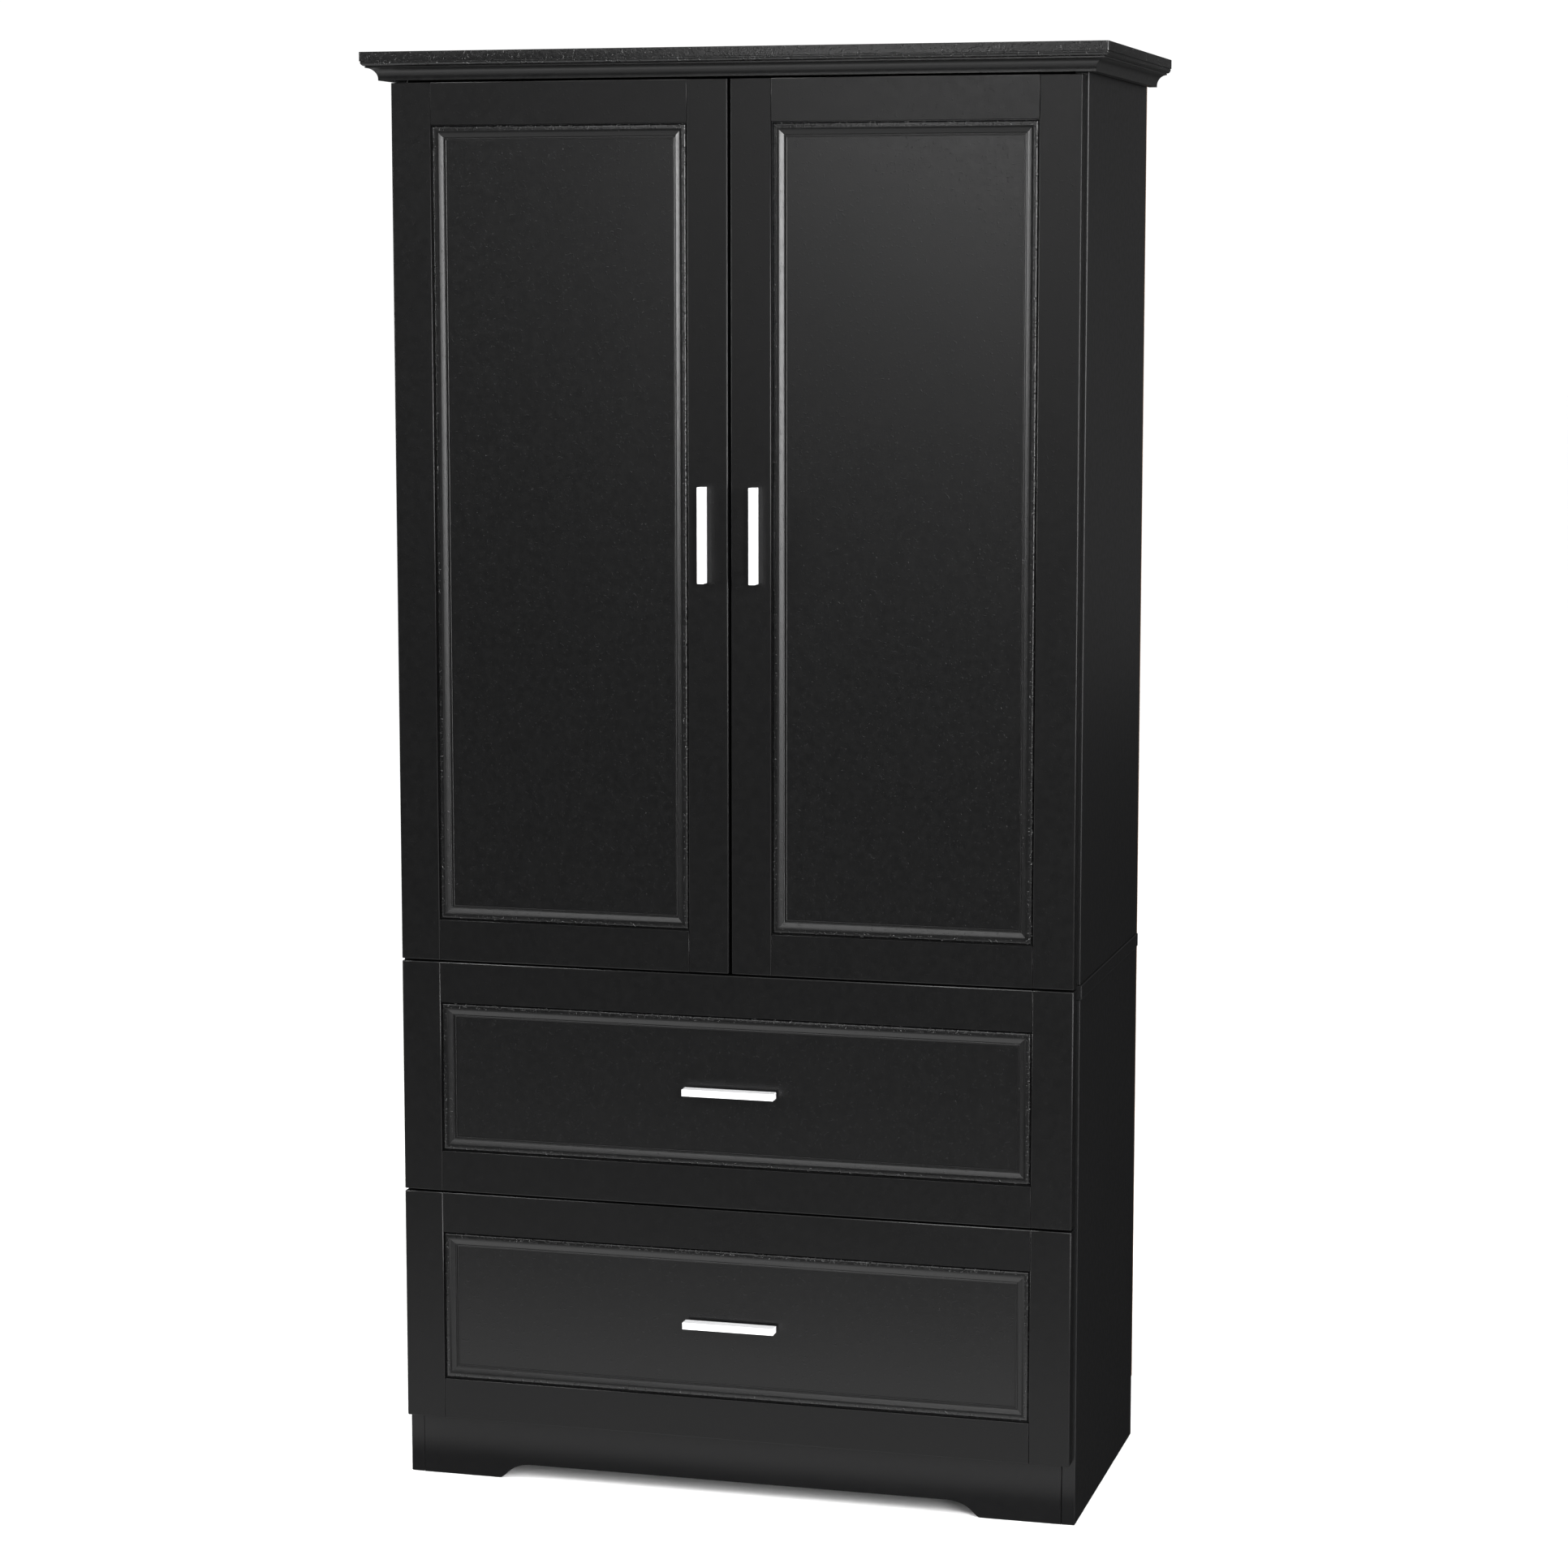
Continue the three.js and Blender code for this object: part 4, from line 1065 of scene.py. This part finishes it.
def build_slide_rollers():
    """A roller at the front of each cabinet member, and one at the rear of each drawer member."""
    half = ROLLER_WIDTH / 2
    wheel = lathe(
        [
            (0, -half - AXLE_PROUD),
            (AXLE_RADIUS, -half - AXLE_PROUD),
            (AXLE_RADIUS, -half),
            (ROLLER_RADIUS - ROLLER_CHAMFER, -half),
            (ROLLER_RADIUS, -half + ROLLER_CHAMFER),
            (ROLLER_RADIUS, half - ROLLER_CHAMFER),
            (ROLLER_RADIUS - ROLLER_CHAMFER, half),
            (HUB_RADIUS, half),
            (HUB_FLOOR_RADIUS, half - ROLLER_CHAMFER),
            (0, half - ROLLER_CHAMFER),
        ],
        ROLLER_STEPS,
    )
    wheel_mesh = mesh_from(wheel, "slide_roller")
    fixed = []
    for drawer in DRAWERS:
        moving = []
        for side, sign in SIDE_SIGNS:
            cabinet_low, cabinet_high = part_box(f"{drawer}_{side}_cabinet_slide")
            runner_low, runner_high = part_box(f"{drawer}_{side}_drawer_slide")
            web = cabinet_high.x if sign > 0 else cabinet_low.x
            x = web - sign * (SLIDE_STEEL + half + ROLLER_OFF_WEB)
            z = runner_high.z - ROLLER_DOWN
            facing = "-X" if sign > 0 else "+X"
            fixed.append(at((x, cabinet_low.y + ROLLER_FROM_END, z), facing))
            foot = runner_low.x if sign > 0 else runner_high.x
            x = foot + sign * (RUNNER_WEB_FROM_FOOT + half + ROLLER_OFF_WEB)
            facing = "+X" if sign > 0 else "-X"
            moving.append(at((x, runner_high.y - ROLLER_FROM_END, z), facing))
        copies(f"{drawer}_rear_rollers", wheel_mesh, moving, drawer, "slide_steel", ROLLER_NYLON)
    copies("front_rollers", wheel_mesh, fixed, "carcass", "slide_steel", ROLLER_NYLON)


def build_slide_screws():
    """Three screws up through each drawer member's foot."""
    for drawer in DRAWERS:
        places = []
        for side, sign in SIDE_SIGNS:
            low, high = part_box(f"{drawer}_{side}_drawer_slide")
            inner = low.x if sign > 0 else high.x
            x = inner + sign * RUNNER_SCREW_FROM_FOOT
            for share in RUNNER_SCREWS:
                places.append(at((x, low.y + share * (high.y - low.y), low.z), "-Z"))
        copies(f"{drawer}_runner_screws", SMALL_SCREW, places, drawer, "zinc_steel", SCREW_ZINC)


CAM_RADIUS = 7.4 * MM
CAM_RIM = 0.6 * MM  # how high its rim stands
CAM_FACE = 0.3 * MM
CAM_STEPS = 36
CAM_FROM_FRONT = 24.0 * MM
CAM_HEIGHTS = (0.3, 0.75)  # as shares of the drawer side's height


def build_drawer_cams():
    """The lock discs that draw the drawer's sides up to its front."""
    cam = lathe(
        [
            (0, -FIXED_IN),
            (CAM_RADIUS, -FIXED_IN),
            (CAM_RADIUS, CAM_FACE),
            (CAM_RADIUS - 0.4 * MM, CAM_RIM),
            (CAM_RADIUS - 1.4 * MM, CAM_RIM),
            (CAM_RADIUS - 1.8 * MM, CAM_FACE),
            (3.4 * MM, CAM_FACE),
            (2.6 * MM, -0.1 * MM),
            (0, -0.1 * MM),
        ],
        CAM_STEPS,
    )
    cam_mesh = mesh_from(cam, "cam_disc")
    for drawer in DRAWERS:
        places = []
        for side, sign in SIDE_SIGNS:
            low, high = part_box(f"{drawer}_{side}_side")
            inner = low.x if sign > 0 else high.x
            for share in CAM_HEIGHTS:
                z = low.z + share * (high.z - low.z)
                facing = "-X" if sign > 0 else "+X"
                places.append(at((inner, low.y + CAM_FROM_FRONT, z), facing))
        copies(f"{drawer}_cams", cam_mesh, places, drawer, "zinc_steel", SCREW_ZINC)


NAIL_RADIUS = 2.4 * MM
NAIL_STEPS = 16
NAIL_SPACING = 150.0 * MM
NAIL_FROM_EDGE = 7.5 * MM


def build_back_nails():
    """Nails down both edges of the back panel, and along the bottom and mid boards."""
    low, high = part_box("back_panel")
    face = high.y - NAIL_PROUD
    nail = lathe(
        [
            (0, -FIXED_IN),
            (NAIL_RADIUS, -FIXED_IN),
            (NAIL_RADIUS, 0.4 * NAIL_PROUD),
            (0.75 * NAIL_RADIUS, NAIL_PROUD),
            (0, NAIL_PROUD),
        ],
        NAIL_STEPS,
    )
    nail_mesh = mesh_from(nail, "nail")
    places = []
    rows = round((high.z - low.z) / NAIL_SPACING)
    for i in range(rows):
        z = low.z + (high.z - low.z) * (i + 0.5) / rows
        for x in (low.x + NAIL_FROM_EDGE, high.x - NAIL_FROM_EDGE):
            places.append(at((x, face, z), "+Y"))
    across = round((high.x - low.x) / NAIL_SPACING)
    for board in ("bottom_board", "mid_board"):
        board_low, board_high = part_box(board)
        for i in range(1, across):
            x = low.x + (high.x - low.x) * i / across
            places.append(at((x, face, (board_low.z + board_high.z) / 2), "+Y"))
    copies("back_panel_nails", nail_mesh, places, "carcass", "zinc_steel", SCREW_ZINC)


# ---- Putting it together ----

build_top_board()
build_cove()
for side in ("left", "right"):
    door = f"{side}_door"
    build_front(door, door, hinge_bores(door), side)
for drawer in DRAWERS:
    build_front(drawer, drawer)
build_carcass()
build_plinth()
build_back_panel()
build_hinges()
build_handle_screws()
build_shelf_pins()
build_slide_rollers()
build_slide_screws()
build_drawer_cams()
build_back_nails()

for drawer in DRAWERS:
    for part in ("left_side", "right_side", "back", "bottom"):
        soften_node(f"{drawer}_{part}", DRAWER_FOIL, DRAWER_BOARD_EASE)
    for side in ("left", "right"):
        soften_node(f"{drawer}_{side}_drawer_slide", SLIDE_COAT, SHEET_EASE)
        soften_node(f"{drawer}_{side}_cabinet_slide", SLIDE_COAT, SHEET_EASE)
for side in ("left", "right"):
    for end in ("lower", "upper"):
        soften_node(f"{side}_door_{end}_hinge_cup", NICKEL, SHEET_EASE)
        soften_node(f"{side}_door_{end}_hinge_arm", NICKEL, HINGE_ARM_EASE)

# ---- Floor ----

floor_shape = bmesh.new()
bmesh.ops.create_circle(
    floor_shape, cap_ends=True, radius=FLOOR_RADIUS, segments=FLOOR_SEGMENTS
)
floor_mesh = bpy.data.meshes.new("floor")
floor_shape.to_mesh(floor_mesh)
floor_shape.free()
floor = bpy.data.objects.new("floor", floor_mesh)
floor.location.z = cad_low[2] - FLOOR_DROP
scene.collection.objects.link(floor)
floor_paint = Material("floor_paint", FLOOR_PALE, FLOOR_ROUGHNESS)
floor_paint.set("Specular IOR Level", 0.0)
floor_paint.tint(floor_paint.noise(FLOOR_CLOUDS), FLOOR_PALE, FLOOR_PALER)
floor_mesh.materials.append(floor_paint.made)
floor.visible_glossy = False
